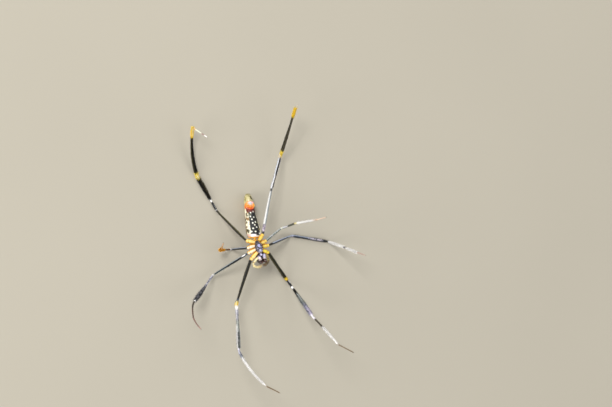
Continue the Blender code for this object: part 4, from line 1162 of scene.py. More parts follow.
@dataclass
class Leg:
    """One leg from hip to claws: a jointed tube with its bands, its coat, spines, brush and claws.

    Fields: the profiles are (share of the segment, radius) pairs, the scales are factors on the radius for
    each pair of legs, and the other sizes are in millimetres.
    """

    side: Side
    pair: int
    seed: int
    step: float = 0.3
    around: int = 22
    hip: Places = ((0, 0.9), (0.3, 1.1), (0.55, 1.22), (0.68, 1.1), (0.76, 0.95), (0.86, 1.08), (1, 0.84))
    femur: Places = ((0, 0.7), (0.08, 0.84), (0.3, 0.98), (0.7, 0.82), (0.93, 0.62), (1, 0.68))
    slim_femur: Places = ((0, 0.7), (0.08, 0.84), (0.3, 0.92), (0.7, 0.7), (0.93, 0.5), (1, 0.62))
    tibia: Places = ((0, 0.66), (0.1, 0.7), (0.2, 0.6), (0.24, 0.46), (0.32, 0.54), (0.7, 0.74),
                     (0.9, 0.62), (1, 0.46))
    thin_tibia: Places = ((0, 0.62), (0.1, 0.64), (0.3, 0.5), (0.36, 0.44), (0.5, 0.52), (1, 0.42))
    metatarsus: Places = ((0, 0.46), (0.1, 0.52), (0.5, 0.42), (0.9, 0.34), (1, 0.36))
    rear_metatarsus: Places = ((0, 0.5), (0.08, 0.66), (0.35, 0.64), (0.7, 0.42), (0.86, 0.46), (1, 0.4))
    tarsus: Places = ((0, 0.32), (0.4, 0.3), (0.85, 0.25), (1, 0.17))
    pair_scale: tuple[float, ...] = (1.0, 0.94, 0.86, 0.96)
    femur_scale: tuple[float, ...] = (1.05, 0.72, 0.72, 0.76)
    hair_per_mm: float = 38.0

    def __post_init__(self) -> None:
        """Work out the path, the joints along it and the radius everywhere."""
        self.name = f"leg{self.pair}_{self.side.word}"
        self.plan = PLANS[self.side, self.pair]
        self.draw = np.random.default_rng(self.seed)
        joints = self._joints()
        pieces, marks = [], [0.0]
        for segment, start, end in zip(Segment, joints, joints[1:]):
            length = float(np.linalg.norm(end - start))
            share = np.arange(0.0, 1.0, self.step / length)
            bow = self._bow(segment, start, end) * (4.0 * share * (1.0 - share))[:, None]
            pieces.append(between(start, end, share) + bow)
            marks.append(marks[-1] + length)
        self.path = Path(smooth_line(np.concatenate([*pieces, joints[-1:]]), 3))
        self.marks = np.array(marks) * self.path.length / marks[-1]
        self.radius = self._radius(self.path.length_at)

    def _joints(self) -> Array:
        """Hip, and the far end of each segment: the last joint plus the length times the heading.

        Returns:
            Six places.
        """
        (near, near_ahead), (far, far_ahead) = HIPS[self.pair]
        sign = self.side.value
        joints = [HEAD.place([sign * near, -near_ahead, -0.35]),
                  HEAD.place([sign * far + self.plan.sway, -far_ahead, 0.3])]
        for segment, length, (bearing, climb) in zip(list(Segment)[1:], LENGTHS[self.pair], self.plan.pose):
            if segment in self.plan.resting:
                climb = math.degrees(math.asin((REST_RADIUS - joints[-1][2]) / length))
            joints.append(joints[-1] + heading(bearing, climb) * length)
        return np.array(joints)

    def _bow(self, segment: Segment, start: Array, end: Array) -> Array:
        """Sideways and upward bow of a segment's middle.

        Args:
            segment: The segment.
            start: Its near end.
            end: Its far end.
        Returns:
            The shift of its middle.
        """
        run = unit(end - start)
        side = unit(np.cross(run, (0.0, 0.0, 1.0)))
        return side * self.plan.bows.get(segment, 0.0) + np.cross(side, run) * LIFT_BOW.get(segment, 0.0)

    def _radius(self, at: Array) -> Array:
        """Radius along the leg: the profiles, pinched at each joint between two low lips.

        Args:
            at: Lengths along the leg.
        Returns:
            The radius at each.
        """
        scale = self.pair_scale[self.pair - 1]
        profiles = (self.hip, self.slim_femur if self.name == "leg1_left" else self.femur,
                    self.thin_tibia if self.pair == 3 else self.tibia,
                    self.rear_metatarsus if self.pair == 4 else self.metatarsus, self.tarsus)
        factors = (1.0, self.femur_scale[self.pair - 1], scale, scale, scale)
        knots = [self.at(segment, share) for segment, pairs in zip(Segment, profiles) for share, _ in pairs]
        sizes = [size * factor for pairs, factor in zip(profiles, factors) for _, size in pairs]
        radius = np.interp(at, np.array(knots) + np.arange(len(knots)) * 1e-6, sizes)
        for fold in (self.at(C, HIP_FOLD), *self.marks[1:5], self.at(T, 0.36 if self.pair == 3 else 0.24)):
            gap = np.abs(at - fold)
            radius = radius * (1.0 - 0.2 * bell(gap, 0.0, 0.26) + 0.08 * bell(gap, 0.75, 0.32))
        return radius

    def at(self, segment: Segment, share: float) -> float:
        """Length along the leg at a share of a segment."""
        low, high = self.marks[list(Segment).index(segment):][:2]
        return float(low + (high - low) * share)

    def share(self, segment: Segment, share: float) -> float:
        """Share of the whole leg at a share of a segment."""
        return self.at(segment, share) / self.path.length

    def stops(self) -> tuple[tuple[float, Colour], ...]:
        """Ramp stops of the bands: one at each end of every band, at least a small gap apart.

        Returns:
            Positions and colours.
        """
        found: list[tuple[float, Colour]] = []
        for segment, rows in self.plan.bands.items():
            for first, last, colour in rows:
                low = max(self.share(segment, first), (found[-1][0] if found else -0.001) + STOP_GAP)
                found.append((low, colour))
                if last > first:
                    found.append((max(self.share(segment, last), low + STOP_GAP), colour))
        return tuple(found)

    def build(self) -> None:
        """Make the skin, the coat with its spines, and the brush."""
        skin = self.path.tube(self.radius, self.around).mesh_object(f"skin_{self.name}")
        marks = (Accent(*row) for row in self.plan.accents)
        accents = tuple((self.share(mark.segment, mark.first), self.share(mark.segment, mark.last), mark)
                        for mark in marks)
        finish = LegFinish(f"cuticle_{self.name}", self.stops(), accents, self.share(C, 1.0), *self.plan.core)
        dress(skin, finish.material(), "leg", *(f"{self.name}_{segment.value}" for segment in Segment))
        hair = replace(finish, name=f"hair_{self.name}", hairy=True).material()
        coat = Coat(f"hair_{self.name}", hair, self.draw)
        at = self.draw.uniform(1.2, self.path.length - 0.2, int(self.hair_per_mm * self.path.length))
        self._grow(coat, Hair.LEG, at[(at > self.marks[1]) | (self.draw.uniform(0.0, 1.0, len(at)) < 0.5)])
        spines = 30 if self.pair == 3 else 46
        self._grow(coat, Hair.SPINE, self.draw.uniform(self.marks[1] + 1.0, self.marks[4], spines))
        coat.build()
        brush = Coat(f"brush_{self.name}", hair, self.draw)
        for tuft in self.plan.tufts:
            self._grow_tuft(brush, *tuft)
        brush.build()

    def _grow(self, coat: Coat, hair: Hair, at: Array, size: float | Array = 1.0) -> None:
        """Hairs at random angles round the leg, lying towards the foot.

        Args:
            coat: The coat that gets them.
            hair: Kind of hair.
            at: Lengths along the leg.
            size: Factor on each length.
        """
        angle = self.draw.uniform(0.0, math.tau, len(at))
        around = ((angle + math.pi / 2.0) / math.tau) % 1.0
        uv = np.stack([around, at / self.path.length], -1)
        coat.grow(hair, *self.path.places(self.radius, at, angle), uv, size)

    def _grow_tuft(self, coat: Coat, segment: Segment, first: float, last: float, length: float,
                   per_mm: float, start: float = 0.8) -> None:
        """Stiff hairs round a stretch, whose length goes from a start share to full in its first half.

        Args:
            coat: The coat that gets them.
            segment: The segment.
            first: Share of the segment where the stretch begins.
            last: Share where it ends.
            length: Full length.
            per_mm: Hairs per millimetre of leg.
            start: Share of the full length at the beginning.
        """
        low, high = self.at(segment, first), self.at(segment, last)
        share = self.draw.uniform(0.0, 1.0, int(per_mm * (high - low)))
        fullness = start + (1.0 - start) * ease(0.0, 0.5, share)
        self._grow(coat, Hair.TUFT, low + (high - low) * share, length * fullness)

    def claws(self) -> list[bpy.types.Object]:
        """Two curved claws and a smaller middle hook at the end of the foot.

        Returns:
            The three objects.
        """
        end, run, side, lift = (values[-1] for values in (self.path.points, self.path.run, self.path.side,
                                                          self.path.lift))
        share = np.linspace(0.0, 1.0, 8)[:, None]
        radius = 0.055 * (1.0 - 0.85 * share[:, 0])
        found = []
        for aside, size in ((-0.12, 0.62), (0.12, 0.62), (0.0, 0.42)):
            hook = size * (run * share - lift * 0.55 * share ** 2.0)
            line = Path(end + side * aside * (1.0 + 0.6 * share) + hook)
            found.append(line.tube(radius, 8).mesh_object("claw"))
        return found


@dataclass
class FrontBody:
    """Shield, breast plate, mouthparts, jaws, fangs, palps and eyes, in the frame of the front body."""

    shield_front: float = -11.7
    shield_rear: float = -0.6
    roof: float = -2.0
    head_half: float = 3.05
    thorax_half: float = 4.5
    head_depth: float = 5.5
    thorax_depth: float = 4.3
    rim: float = 0.5
    dimple_y: float = -4.4
    breast_front: float = -8.1
    breast_rear: float = -0.6
    breast_half: float = 2.05
    breast_top: float = 1.35
    breast_base: float = -1.65
    breast_spots: tuple = ((-0.05, -6.5, 0.95), (-0.1, -3.5, 1.05), (0.35, -4.4, 0.6), (0.95, -7.3, 0.42),
                           (-0.95, -7.3, 0.42), (1.15, -4.9, 0.3), (-1.2, -4.9, 0.3))
    jaw_top: tuple = (1.4, -12.25, -5.0)
    jaw_tip: tuple = (1.3, -13.95, 0.3)
    jaw_profile: Places = ((0, 0.6), (0.07, 0.95), (0.25, 1.22), (0.6, 1.25), (0.88, 0.92), (1, 0.62))
    fang_profile: Places = ((0, 0.36), (0.4, 0.3), (0.8, 0.17), (1, 0.03))
    palp_route: tuple = ((2.25, -10.3, -0.55), (2.8, -10.65, -0.3), (4.1, -11.6, -0.5), (4.95, -12.9, -0.4),
                         (4.7, -14.3, 0.0), (3.5, -15.3, 0.35), (2.0, -15.75, 0.6), (0.75, -15.6, 0.75))
    palp_sway: float = -1.5
    palp_profile: Places = ((0, 0.46), (0.06, 0.56), (0.28, 0.6), (0.36, 0.42), (0.43, 0.56), (0.5, 0.42),
                            (0.6, 0.58), (0.68, 0.42), (0.8, 0.6), (0.93, 0.48), (1, 0.2))
    eyes: tuple = ((0.62, -5.35, 0.33), (0.72, -6.45, 0.32), (2.3, -5.15, 0.36), (2.3, -5.65, 0.31))
    bristles: int = 420
    seed: int = 900

    def __post_init__(self) -> None:
        """Start the seeded draw."""
        self.draw = np.random.default_rng(self.seed)

    def shield_point(self, long: Array, angle: Array) -> Array:
        """Back shield: a blunt barrel, higher at the head, with radial furrows and a dimple behind the head.

        The half width and depth ease from head to thorax along y, times (1 less |long| to 2.9) to 1/2.9.

        Args:
            long: Long share from -1 to 1.
            angle: Angle round the barrel.
        Returns:
            Places in the object's frame.
        """
        y = span(self.shield_front, self.shield_rear, long)
        half = self.head_half + (self.thorax_half - self.head_half) * ease(-8.6, -5.2, y)
        depth = self.head_depth + (self.thorax_depth - self.head_depth) * ease(-9.0, -4.6, y)
        depth = depth * (1.0 - 0.35 * ease(-3.2, 0.2, y))
        swell = blunt(long, 2.9)
        down = np.sin(angle)
        x = half * swell * squared(np.cos(angle), 0.85)
        rim = self.roof - self.rim
        under = rim + self.rim * swell * down.clip(0.0) ** 0.5
        behind = y - self.dimple_y
        dimple = 0.45 * np.exp(-(behind ** 2 / 0.8 + x * x / 1.2))
        spoke, reach = np.arctan2(x, behind), np.hypot(x, behind)
        furrow = 0.1 * np.cos(spoke * 7.0) ** 8 * ease(0.8, 2.0, reach) * (1.0 - 0.4 * ease(3.0, 4.4, reach))
        crease = 0.22 * bell(y + 6.6 - 0.42 * np.abs(x), 0.0, 0.32) * ease(0.2, 1.2, np.abs(x))
        over = rim - swell * (depth - self.rim) * np.abs(down) ** 0.9
        over = over + (dimple + furrow + crease) * swell * (-down).clip(0.0)
        return HEAD.place(np.stack([x, y, np.where(down > 0.0, under, over)], axis=-1))

    def face_point(self, x: float, z: float) -> tuple[Array, Array]:
        """Point of the shield's front at a sideways place and a height, and its outward normal.

        Args:
            x: Sideways place.
            z: Height.
        Returns:
            The point of a fine grid nearest to them, and the direction to it from the middle of the head.
        """
        long, angle = np.meshgrid(np.linspace(-1.0, -0.6, 160), np.linspace(-math.pi, 0.0, 360),
                                  indexing="ij")
        local = (self.shield_point(long, angle) - np.array(HEAD.waist)) @ HEAD.matrix()
        miss = (local[..., 0] - x) ** 2 + (local[..., 2] - z) ** 2
        best = local[np.unravel_index(np.argmin(miss), miss.shape)]
        return best, unit(best - np.array([0.0, -8.0, -4.4]))

    def breast_point(self, long: Array, angle: Array) -> Array:
        """Heart-shaped plate: a squared barrel whose width swells in front, with low humps towards the hips.

        Args:
            long: Long share from -1 to 1.
            angle: Angle round the barrel.
        Returns:
            Places in the object's frame.
        """
        y = span(self.breast_front, self.breast_rear, long)
        share = (y - self.breast_front) / (self.breast_rear - self.breast_front)
        swell = 0.72 + 0.28 * np.sin(math.pi * np.minimum(1.0, share / 0.8)) - 0.38 * ease(0.6, 1.0, share)
        ends = blunt(long, 3.4)
        x = self.breast_half * swell * ends * squared(np.cos(angle), 0.7)
        z = span(self.breast_base, self.breast_top, ends ** 0.5 * squared(np.sin(angle), 0.6))
        humps = 0.14 * bell(np.hypot(x, y + 7.2), 0.0, 0.6) - 0.05
        for hump_y in (-6.9, -5.0, -3.1):
            for side in (-1.0, 1.0):
                humps = humps + 0.16 * bell(np.hypot(x - side * 1.15, y - hump_y), 0.0, 0.5)
        return HEAD.place(np.stack([x, y, z + humps * (np.sin(angle) > 0.0)], axis=-1))

    def lip_point(self, long: Array, angle: Array) -> Array:
        """Lip plate: a barrel that narrows forwards, with a swollen front edge.

        Args:
            long: Long share from -1 to 1.
            angle: Angle round the barrel.
        Returns:
            Places in the object's frame.
        """
        radius, up = blunt(long, 2.0), np.sin(angle)
        x = 0.68 * (1.0 - 0.2 * long) * radius ** 0.8 * np.cos(angle)
        z = -0.2 + 1.42 * radius ** 0.7 * up + 0.05 * bell(long, -0.7, 0.2) * (up > 0.0)
        return HEAD.place(np.stack([x, -9.25 + 0.85 * long, z], axis=-1))

    def jaw_plate_point(self, sign: float, long: Array, angle: Array) -> Array:
        """Jaw plate: a flattened barrel, wider in front and leaning inwards there.

        Args:
            sign: -1 on the left and 1 on the right.
            long: Long share from -1 to 1.
            angle: Angle round the barrel.
        Returns:
            Places in the object's frame.
        """
        x = 1.62 + 0.2 * long + (0.82 - 0.12 * long) * blunt(long, 3.0) * np.cos(angle)
        z = -0.2 + 1.45 * blunt(long, 2.0) ** 0.6 * np.sin(angle)
        return HEAD.place(np.stack([sign * x, -10.65 + 1.5 * long, z], axis=-1))

    def soft_point(self, long: Array, angle: Array) -> Array:
        """Soft skin inside the shield's rim: a low barrel, blunt at both ends.

        Args:
            long: Long share from -1 to 1.
            angle: Angle round the barrel.
        Returns:
            Places in the object's frame.
        """
        swell = blunt(long, 3.0)
        x, z = 2.9 * swell * np.cos(angle), -1.6 + 0.95 * swell * np.sin(angle)
        return HEAD.place(np.stack([x, -5.7 + 5.2 * long, z], axis=-1))

    def lens_point(self, centre: Array, radius: float, long: Array, angle: Array) -> Array:
        """Lens: the centre plus the radius times a unit ball.

        Args:
            centre: Middle of the ball.
            radius: Its radius.
            long: Long share from -1 to 1.
            angle: Angle round the ball.
        Returns:
            Places in the object's frame.
        """
        size = blunt(long, 2.0)
        ball = np.stack([size * np.cos(angle), size * np.sin(angle), long], axis=-1)
        return HEAD.place(centre + radius * ball)

    def build(self) -> None:
        """Make every piece of the front body."""
        self._build_shield()
        self._build_under_plates()
        self._build_jaws()
        self._build_palps()
        self._build_eyes()

    def _build_shield(self) -> None:
        """Shield with its flat silver hair, which grows on the back only."""
        skin = shaped_skin(self.shield_point, 130, 150, 90.0)
        dress(skin.mesh_object("shield"), ShieldFinish("shield_cuticle").material(), "carapace", "carapace")
        coat = Coat("hair_shield", ShieldFinish("shield_hair", hairy=True).material(), self.draw)
        coat.grow_on(Hair.SHIELD, skin, 7000, (6, 124), (0, 150), FORWARD, 0.22,
                     keep=lambda points, normals: (HEAD.matrix().T @ normals.T)[2] < 0.25)
        coat.build()

    def _build_under_plates(self) -> None:
        """Breast plate, lip plate and jaw plates with their hair, and the soft skin that they sit in."""
        breast = shaped_skin(self.breast_point, 90, 96)
        spots = tuple((*HEAD.place([x, y, 1.3])[:2], radius) for x, y, radius in self.breast_spots)
        dress(breast.mesh_object("breast_plate"), BreastFinish("breast_cuticle", spots).material(), "sternum",
              "sternum")
        dark_root = ((0.96, (0.12, 0.11, 0.16)), (1.0, (0.03, 0.02, 0.03)))
        pale_tip = ((0.0, (0.8, 0.66, 0.66)), (0.1, (0.92, 0.8, 0.8)), (0.3, (0.62, 0.58, 0.74)),
                    (0.85, (0.48, 0.47, 0.68)), *dark_root)
        # The left jaw plate's pale pink is a painted highlight; the lip and the right plate keep the pale
        # tip.
        highlight_tip = ((0.0, (0.8, 0.66, 0.66)), (0.1, (0.96, 0.86, 0.86)), (0.62, (0.9, 0.78, 0.82)),
                    (0.8, (0.42, 0.38, 0.5)), *dark_root)
        finish = PlateFinish("mouth_cuticle", pale_tip).material()
        finishes = {Side.LEFT: PlateFinish("mouth_cuticle_left", highlight_tip).material(), Side.RIGHT: finish}
        dress(shaped_skin(self.lip_point, 30, 36).mesh_object("lip_plate"), finish, "mouthpart", "labium")
        coat = Coat("hair_under", PlateFinish("under_hair", pale_tip, hairy=True).material(), self.draw)
        for side in Side:
            plate = shaped_skin(partial(self.jaw_plate_point, side.value), 40, 40)
            dress(plate.mesh_object(f"jaw_plate_{side.word}"), finishes[side], "mouthpart",
                  f"maxilla_{side.word}")
            coat.grow_on(Hair.PLATE, plate, 420, (2, 38), (8, 32), FORWARD, 0.25, (0.7, 0.0))
            coat.grow_on(Hair.PLATE_EDGE, plate, 700, (0, 6), (8, 32), FORWARD, 0.25, (1.35, 0.0))
        coat.grow_on(Hair.PLATE, breast, 1500, (4, 85), (19, 77), FORWARD, 0.25, (0.6, 0.0))
        coat.build()
        stops = ((0.0, (0.03, 0.018, 0.022)), (0.24, (0.05, 0.025, 0.025)), (0.34, (0.66, 0.26, 0.02)),
                 (0.5, (0.88, 0.46, 0.04)), (1.0, (0.88, 0.46, 0.04)))
        dress(shaped_skin(self.soft_point, 40, 48).mesh_object("soft_skin"),
              PlateFinish("soft_skin", stops, roughness=0.5).material(), "hip")

    def _build_jaws(self) -> None:
        """Stout glossy jaws with bristles and a fang each, folded inwards."""
        glossy = Cuticle("jaw_cuticle", (0.026, 0.014, 0.014), (0.06, 0.032, 0.028), 0.16, 0.9,
                         900.0).material()
        horn_stops = ((0.0, (0.03, 0.008, 0.006)), (0.6, (0.1, 0.02, 0.012)), (1.0, (0.28, 0.07, 0.03)))
        horn = PlateFinish("fang_horn", horn_stops, roughness=0.15).material()
        bristle = Cuticle("jaw_bristle", (0.03, 0.02, 0.018), (0.1, 0.06, 0.04), 0.4, 0.0).material()
        coat = Coat("hair_jaws", bristle, self.draw)
        share, turn = np.linspace(0.0, 1.0, 46), np.linspace(0.0, 1.0, 24)
        radius = profile(self.jaw_profile, share)
        for side in Side:
            top, tip = side.mirror(self.jaw_top), side.mirror(self.jaw_tip)
            bulge = np.array([0.0, -0.22, 0.0]) * np.sin(math.pi * share)[:, None]
            line = Path(HEAD.place(between(top, tip, share) + bulge), (0.0, 1.0, 0.0))
            dress(line.tube(radius, 40).mesh_object(f"jaw_{side.word}"), glossy, "jaw",
                  f"chelicera_{side.word}")
            self._grow_bristles(coat, line, radius)
            foot = tip + side.mirror((0.15, -0.15, 0.32))
            curl = np.stack([-0.95 * turn, 0.35 * turn + 0.5 * turn ** 2, 0.42 * np.sin(math.pi * turn)], -1)
            fang = Path(HEAD.place(foot + side.mirror(curl))).tube(profile(self.fang_profile, turn), 18)
            dress(fang.mesh_object(f"fang_{side.word}"), horn, "jaw", f"fang_{side.word}")
        coat.build()

    def _grow_bristles(self, coat: Coat, line: Path, radius: Array) -> None:
        """Bristles along a jaw, thickest near its tip, that lie towards the tip.

        Args:
            coat: The coat that gets them.
            line: Middle line of the jaw.
            radius: Radius at each of its points.
        """
        share = self.draw.uniform(0.12, 1.0, self.bristles) ** 0.7
        angle = self.draw.uniform(0.0, math.tau, self.bristles)
        uv = np.stack([(angle / math.tau) % 1.0, share], -1)
        coat.grow(Hair.BRISTLE, *line.places(radius, share * line.length * 0.97, angle), uv)

    def _build_palps(self) -> None:
        """Palps curled in front of the jaws, with dark joints and hair: cream on the left, and brown on the
        right as painted shade.
        """
        # The right palp's browns are painted shade over the palp's cream.
        tones = {Side.LEFT: ((0.98, 0.9, 0.58), (0.66, 0.42, 0.14), (0.96, 0.86, 0.52), (0.8, 0.62, 0.32)),
                 Side.RIGHT: ((0.5, 0.38, 0.14), (0.05, 0.03, 0.015), (0.16, 0.11, 0.05), (0.22, 0.14, 0.07))}
        for side in Side:
            route = side.mirror(self.palp_route)
            route[:, 0] += self.palp_sway * ease(10.7, 13.2, -route[:, 1])
            line = Path(HEAD.place(curve_through(route, 90)))
            skin = line.tube(profile(self.palp_profile, line.length_at / line.length) * 0.97, 24)
            pale, joint, middle, end = tones[side]
            stops = ((0.0, pale), (0.32, pale), (0.35, joint), (0.37, joint), (0.4, pale), (0.48, pale),
                     (0.5, joint), (0.53, middle), (0.66, middle), (0.68, joint), (0.71, middle), (0.88, end),
                     (1.0, end))
            cuticle = PlateFinish(f"palp_cuticle_{side.word}", stops).material()
            tone = PlateFinish(f"palp_hair_{side.word}", stops, hairy=True).material()
            dress(skin.mesh_object(f"palp_skin_{side.word}"), cuticle, "palp", f"palp_{side.word}")
            coat = Coat(f"hair_palp_{side.word}", tone, self.draw)
            coat.grow_on(Hair.PALP, skin, 1500, (4, 88), (0, 24), line.run, size=(0.65, 0.75))
            coat.build()

    def _build_eyes(self) -> None:
        """Eight glossy lenses: four in the middle, and two close together on each side."""
        recipe = Recipe("lens", 0.06, 1.0)
        glow = recipe.noise(3000.0, 2.0).step(0.3, 0.8)
        material = recipe.finish(recipe.mix(glow, (0.004, 0.004, 0.006), (0.03, 0.015, 0.006)))
        for index, (x, z, radius) in enumerate(self.eyes):
            for side in Side:
                point, normal = self.face_point(side.value * x, z)
                centre = point + normal * radius * 0.2
                lens = shaped_skin(partial(self.lens_point, centre, radius), 18, 24, 0.0)
                nodes = [f"eye_{place}_{side.word}" for place in ("front", "rear", "pair")[index:index + 1]]
                dress(lens.mesh_object(f"lens_{index + 1}_{side.word}"), material, "eye", *nodes)


@dataclass
class RearBody:
    """Waist, abdomen and spinnerets, in the object's own frame."""

    front: float = -16.0
    tail: float = 10.0
    half_width: float = 2.85
    widening: float = 0.149
    widen_from: float = -1.2
    half_height: float = 4.1
    rest_height: float = 3.83
    rise: float = 8.15
    rise_power: float = 1.3
    level_from: float = -1.0
    tail_x: float = -1.0
    front_x: float = -0.35
    bow: float = 0.75
    twist_at_origin: float = 12.3
    twist_per_mm: float = 2.0
    mound_y: float = 3.1
    mound_angle: float = 110.0
    mound_radius: float = 2.9
    mound_height: float = 1.4
    mound_base: float = -0.25
    mound_slope: float = 7.5
    mound_roll: float = 26.0
    nozzles: tuple = ((0.95, 0.95, 0.98, 2.1), (0.4, -0.05, 0.36, 1.9), (0.95, -0.95, 0.82, 1.95))
    nozzle_profile: Places = ((0, 1.0), (0.5, 1.02), (0.88, 0.66), (1, 0.32))
    fringe_hairs: int = 700
    seed: int = 950

    def __post_init__(self) -> None:
        """Start the seeded draw, and find the spinnerets' foot on the belly and which way they point."""
        self.draw = np.random.default_rng(self.seed)
        y, angle = np.array(self.mound_y), math.radians(self.mound_angle)
        wide, high = self.outline(y)
        self.foot = np.array([self.sway(y) + wide * math.cos(angle), y,
                              self.middle(y) + high * math.sin(angle)])
        self.turn = np.array(turn_about("Y", -self.mound_roll) @ turn_about("X", -self.mound_slope))

    def middle(self, y: Array) -> Array:
        """Height of the middle line: level at the rear, rising forwards as a power of the share."""
        share = ((self.level_from - y) / (self.level_from - self.front)).clip(0.0)
        return self.rest_height + self.rise * share ** self.rise_power

    def sway(self, y: Array) -> Array:
        """Sideways place of the middle line: a straight run plus half a sine wave."""
        share = (self.tail - y) / (self.tail - self.front)
        return self.tail_x + (self.front_x - self.tail_x) * share + self.bow * np.sin(math.pi * share)

    def twist(self, y: Array) -> Array:
        """Turn of the belly's midline from straight up, in radians: it grows evenly towards the tail."""
        return np.radians(np.clip(self.twist_at_origin + self.twist_per_mm * y, -25.0, 22.0))

    def outline(self, y: Array) -> tuple[Array, Array]:
        """Half width, which grows forwards, and half height, each times the blunt ends of the barrel.

        Args:
            y: Places along the body.
        Returns:
            Half width and half height there.
        """
        long = np.clip((y - span(self.front, self.tail, 0.0)) / ((self.tail - self.front) / 2.0), -1.0, 1.0)
        widest = self.half_width + self.widening * (self.widen_from - y).clip(0.0)
        return (widest * blunt(long, np.where(long < 0.0, 5.0, 2.8)),
                self.half_height * blunt(long, np.where(long < 0.0, 2.9, 2.35)))

    def abdomen_point(self, long: Array, angle: Array) -> Array:
        """Long barrel, twisted about its length, with rings of wrinkles, small dents and a furrow in front.

        Args:
            long: Long share from -1 to 1.
            angle: Angle round the barrel.
        Returns:
            Places in the object's frame.
        """
        y = span(self.front, self.tail, long)
        turned = angle + self.twist(y)
        wide, high = self.outline(y)
        folds = 0.03 * np.sin(y * 6.2 + 1.5 * np.sin(angle * 3.0)) * (1.0 - ease(0.6, 0.95, np.abs(long)))
        folds = folds * (0.35 + 0.65 * np.abs(np.cos(angle)))
        flank = (np.abs(np.cos(angle)) - 0.35) * 6.0
        pits = sum(bell(np.hypot(y - at, flank), 0.0, 0.45) for at in (-9.0, -5.5, -2.0))
        scale = 1.0 + (folds - 0.12 * pits * (np.sin(angle) < 0.0)) / 3.4
        furrow = 0.22 * bell(y, -12.8, 0.35) * ease(0.3, 0.8, np.sin(angle))
        x = self.sway(y) + wide * scale * np.cos(turned)
        return np.stack([x, y, self.middle(y) + (high * scale - furrow) * np.sin(turned)], axis=-1)

    def mound_point(self, long: Array, angle: Array) -> Array:
        """Dome whose height is a power of the long share, with a rolled rim and radial folds.

        Args:
            long: Long share from -1 to 1.
            angle: Angle round the dome.
        Returns:
            Places in the object's frame.
        """
        reach = self.mound_radius * (blunt(long, 2.0) * (1.0 + 0.025 * np.cos(angle * 9.0)))
        height = self.mound_base + self.mound_height * long.clip(0.0) ** 0.8 - 0.9 * (-long).clip(0.0) ** 1.5
        return self.on_mound(np.stack([reach * np.cos(angle), reach * np.sin(angle), height], axis=-1))

    def on_mound(self, points: Array) -> Array:
        """Points of the spinnerets' own frame, in the object's frame."""
        return points @ self.turn.T + self.foot

    def build(self) -> None:
        """Make the abdomen with its hair, the waist and the spinnerets."""
        skin = shaped_skin(self.abdomen_point, 230, 180)
        dress(skin.mesh_object("abdomen_skin"), AbdomenFinish("abdomen_cuticle").material(), "abdomen",
              "abdomen")
        coat = Coat("hair_abdomen", AbdomenFinish("abdomen_hair", hairy=True).material(), self.draw)
        clear = self.mound_radius + 0.3
        coat.grow_on(Hair.ABDOMEN, skin, 9000, (6, 224), (0, 180), np.array([0.0, 1.0, 0.0]), 0.2,
                     keep=lambda points, normals: np.linalg.norm(points - self.foot, axis=1) > clear)
        coat.build()
        self._build_waist()
        self._build_spinnerets()

    def _build_waist(self) -> None:
        """Short stalk from the rear of the shield to the front of the abdomen."""
        front = np.array(self.front)
        start = HEAD.place([0.0, -0.5, -3.2])
        end = np.array([self.sway(front), front + 0.2, self.middle(front) + 0.4])
        share = np.linspace(0.0, 1.0, 24)
        radius = profile(((0.0, 0.8), (0.5, 0.6), (1.0, 0.85)), share) + 0.04 * np.cos(share * 30.0)
        cuticle = Cuticle("waist_cuticle", (0.92, 0.55, 0.05), (0.6, 0.26, 0.03), 0.4)
        dress(Path(between(start, end, share)).tube(radius, 28).mesh_object("waist"), cuticle.material(),
              "abdomen", "pedicel")

    def _build_spinnerets(self) -> None:
        """Low mound and three pairs of nozzles in one piece, with a fringe of short hair round them."""
        parts = [shaped_skin(self.mound_point, 60, 96, 0.0).mesh_object("spinneret_group")]
        share = np.linspace(0.0, 1.0, 34)
        creases = 1.0 - 0.1 * bell(share, 0.55, 0.035) - 0.12 * bell(share, 0.82, 0.03)
        for across, ahead, thick, length in self.nozzles:
            for side in Side:
                low = side.mirror((across, -ahead, self.mound_base + 0.1))
                high = side.mirror((across * 0.55, -ahead * 0.5, self.mound_base + 0.25 + length))
                line = Path(self.on_mound(between(low, high, share)), (0.0, 1.0, 0.0))
                radius = thick * profile(self.nozzle_profile, share) * creases
                parts.append(line.tube(radius, 36).mesh_object("nozzle"))
        finish = SpinneretFinish("spinneret_cuticle", tuple(self.foot[:2].tolist()))
        dress(join(parts, "spinneret_group"), finish.material(), "spinneret", "spinnerets")
        stops = ((0.0, (0.3, 0.2, 0.1)), (1.0, (0.6, 0.42, 0.26)))
        tone = PlateFinish("fringe_hair", stops, hairy=True).material()
        coat = Coat("hair_spinnerets", tone, self.draw)
        angle = self.draw.uniform(0.0, math.tau, self.fringe_hairs)
        reach = self.mound_radius * self.draw.uniform(0.75, 1.0, self.fringe_hairs)
        round_way = np.stack([np.cos(angle), np.sin(angle), np.ones(self.fringe_hairs)], -1)
        roots = self.on_mound(round_way * np.stack([reach, reach, np.full(self.fringe_hairs, -0.15)], -1))
        uv = np.stack([angle / math.tau, np.full(self.fringe_hairs, 0.3)], -1)
        coat.grow(Hair.FRINGE, roots, unit(round_way * (1.0, 1.0, 0.6)) @ self.turn.T,
                  unit(round_way * (1.0, 1.0, 0.18)) @ self.turn.T, uv)
        coat.build()


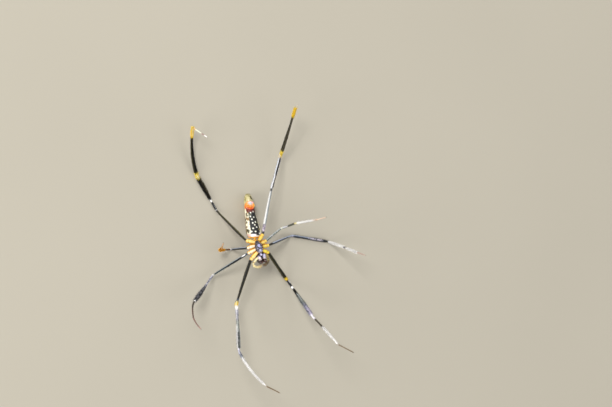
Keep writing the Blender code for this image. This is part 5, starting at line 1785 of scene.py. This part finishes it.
@dataclass
class Studio:
    """Pale floor, soft lights and the camera at the photo's angle.

    Fields: lights are rows of name, place, size and power; lens_share is the lens in widths of the sensor.
    """

    camera_at: tuple = (-0.4853, 0.0031, 1.4341)
    look_at: tuple = (0.0277, 0.0031, 0.0245)
    roll: float = 2.2
    lens_share: float = 4.2041
    sensor: float = 36.0
    floor_half: float = 12.0
    floor_colour: Colour = (0.42, 0.385, 0.31)
    sky: tuple = (0.97, 0.98, 1.0, 1.0)
    sky_strength: float = 0.42
    lights: tuple = (("key", (-0.88, 0.72, 1.6), 0.64, 26.6), ("side", (-1.9, -0.48, 0.8), 1.33, 32.5),
                     ("fill", (1.28, -0.48, 1.44), 1.44, 11.3), ("back", (0.15, 1.9, 1.1), 1.2, 8.6))

    def build(self) -> None:
        """Make the floor with its faint mottle, the square lights that face the model, and the camera."""
        mesh = bpy.data.meshes.new("floor")
        mesh.from_pydata([(x * self.floor_half, y * self.floor_half, 0.0)
                          for x, y in ((-1, -1), (1, -1), (1, 1), (-1, 1))], [], [(0, 1, 2, 3)])
        floor = link("floor", mesh)
        recipe = Recipe("floor_paper", 0.85)
        shade = tuple(value * 0.93 for value in self.floor_colour)
        mesh.materials.append(recipe.finish(recipe.mix(recipe.noise(7.0, 2.0), self.floor_colour, shade)))
        for name, place, size, power in self.lights:
            lamp = bpy.data.lights.new(name, "AREA")
            lamp.size, lamp.energy = size, power
            holder = link(name, lamp)
            holder.location = place
            holder.rotation_euler = (Vector(self.look_at) - Vector(place)).to_track_quat("-Z", "Y").to_euler()
        world = bpy.context.scene.world = bpy.data.worlds.new("soft_room")
        world.use_nodes = True
        background = world.node_tree.nodes["Background"].inputs
        background["Color"].default_value, background["Strength"].default_value = self.sky, self.sky_strength
        bpy.context.scene.view_settings.view_transform = "Standard"
        self._camera()

    def _camera(self) -> None:
        """Camera with its axes: image right, image up and towards the viewer, turned by the roll."""
        toward = unit(np.array(self.camera_at) - np.array(self.look_at))
        right = unit(np.cross((0.0, 1.0, 0.0), toward))
        up = np.cross(toward, right)
        cosine, sine = math.cos(math.radians(self.roll)), math.sin(math.radians(self.roll))
        axes = np.stack([cosine * right - sine * up, cosine * up + sine * right, toward], axis=1)
        data = bpy.data.cameras.new("camera")
        data.sensor_width = self.sensor
        data.lens = self.lens_share * self.sensor
        camera = link("camera", data)
        camera.matrix_world = Matrix.Translation(self.camera_at) @ Matrix(axes.tolist()).to_4x4()
        bpy.context.scene.camera = camera


def main() -> None:
    """Build the studio and every sub-assembly in order."""
    logging.basicConfig(level=logging.INFO, format="%(message)s")
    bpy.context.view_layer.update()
    Studio().build()
    legs = [Leg(side, pair, SEED + pair + (10 if side is Side.RIGHT else 0))
            for side in Side for pair in (1, 2, 3, 4)]
    for leg in legs:
        leg.build()
    horn = Cuticle("claw_horn", (0.02, 0.014, 0.012), (0.08, 0.04, 0.02), 0.2, 0.4).material()
    dress(join([claw for leg in legs for claw in leg.claws()], "claws"), horn, "tarsus")
    FrontBody().build()
    RearBody().build()
    LOG.info("done")


if __name__ == "__main__":
    main()
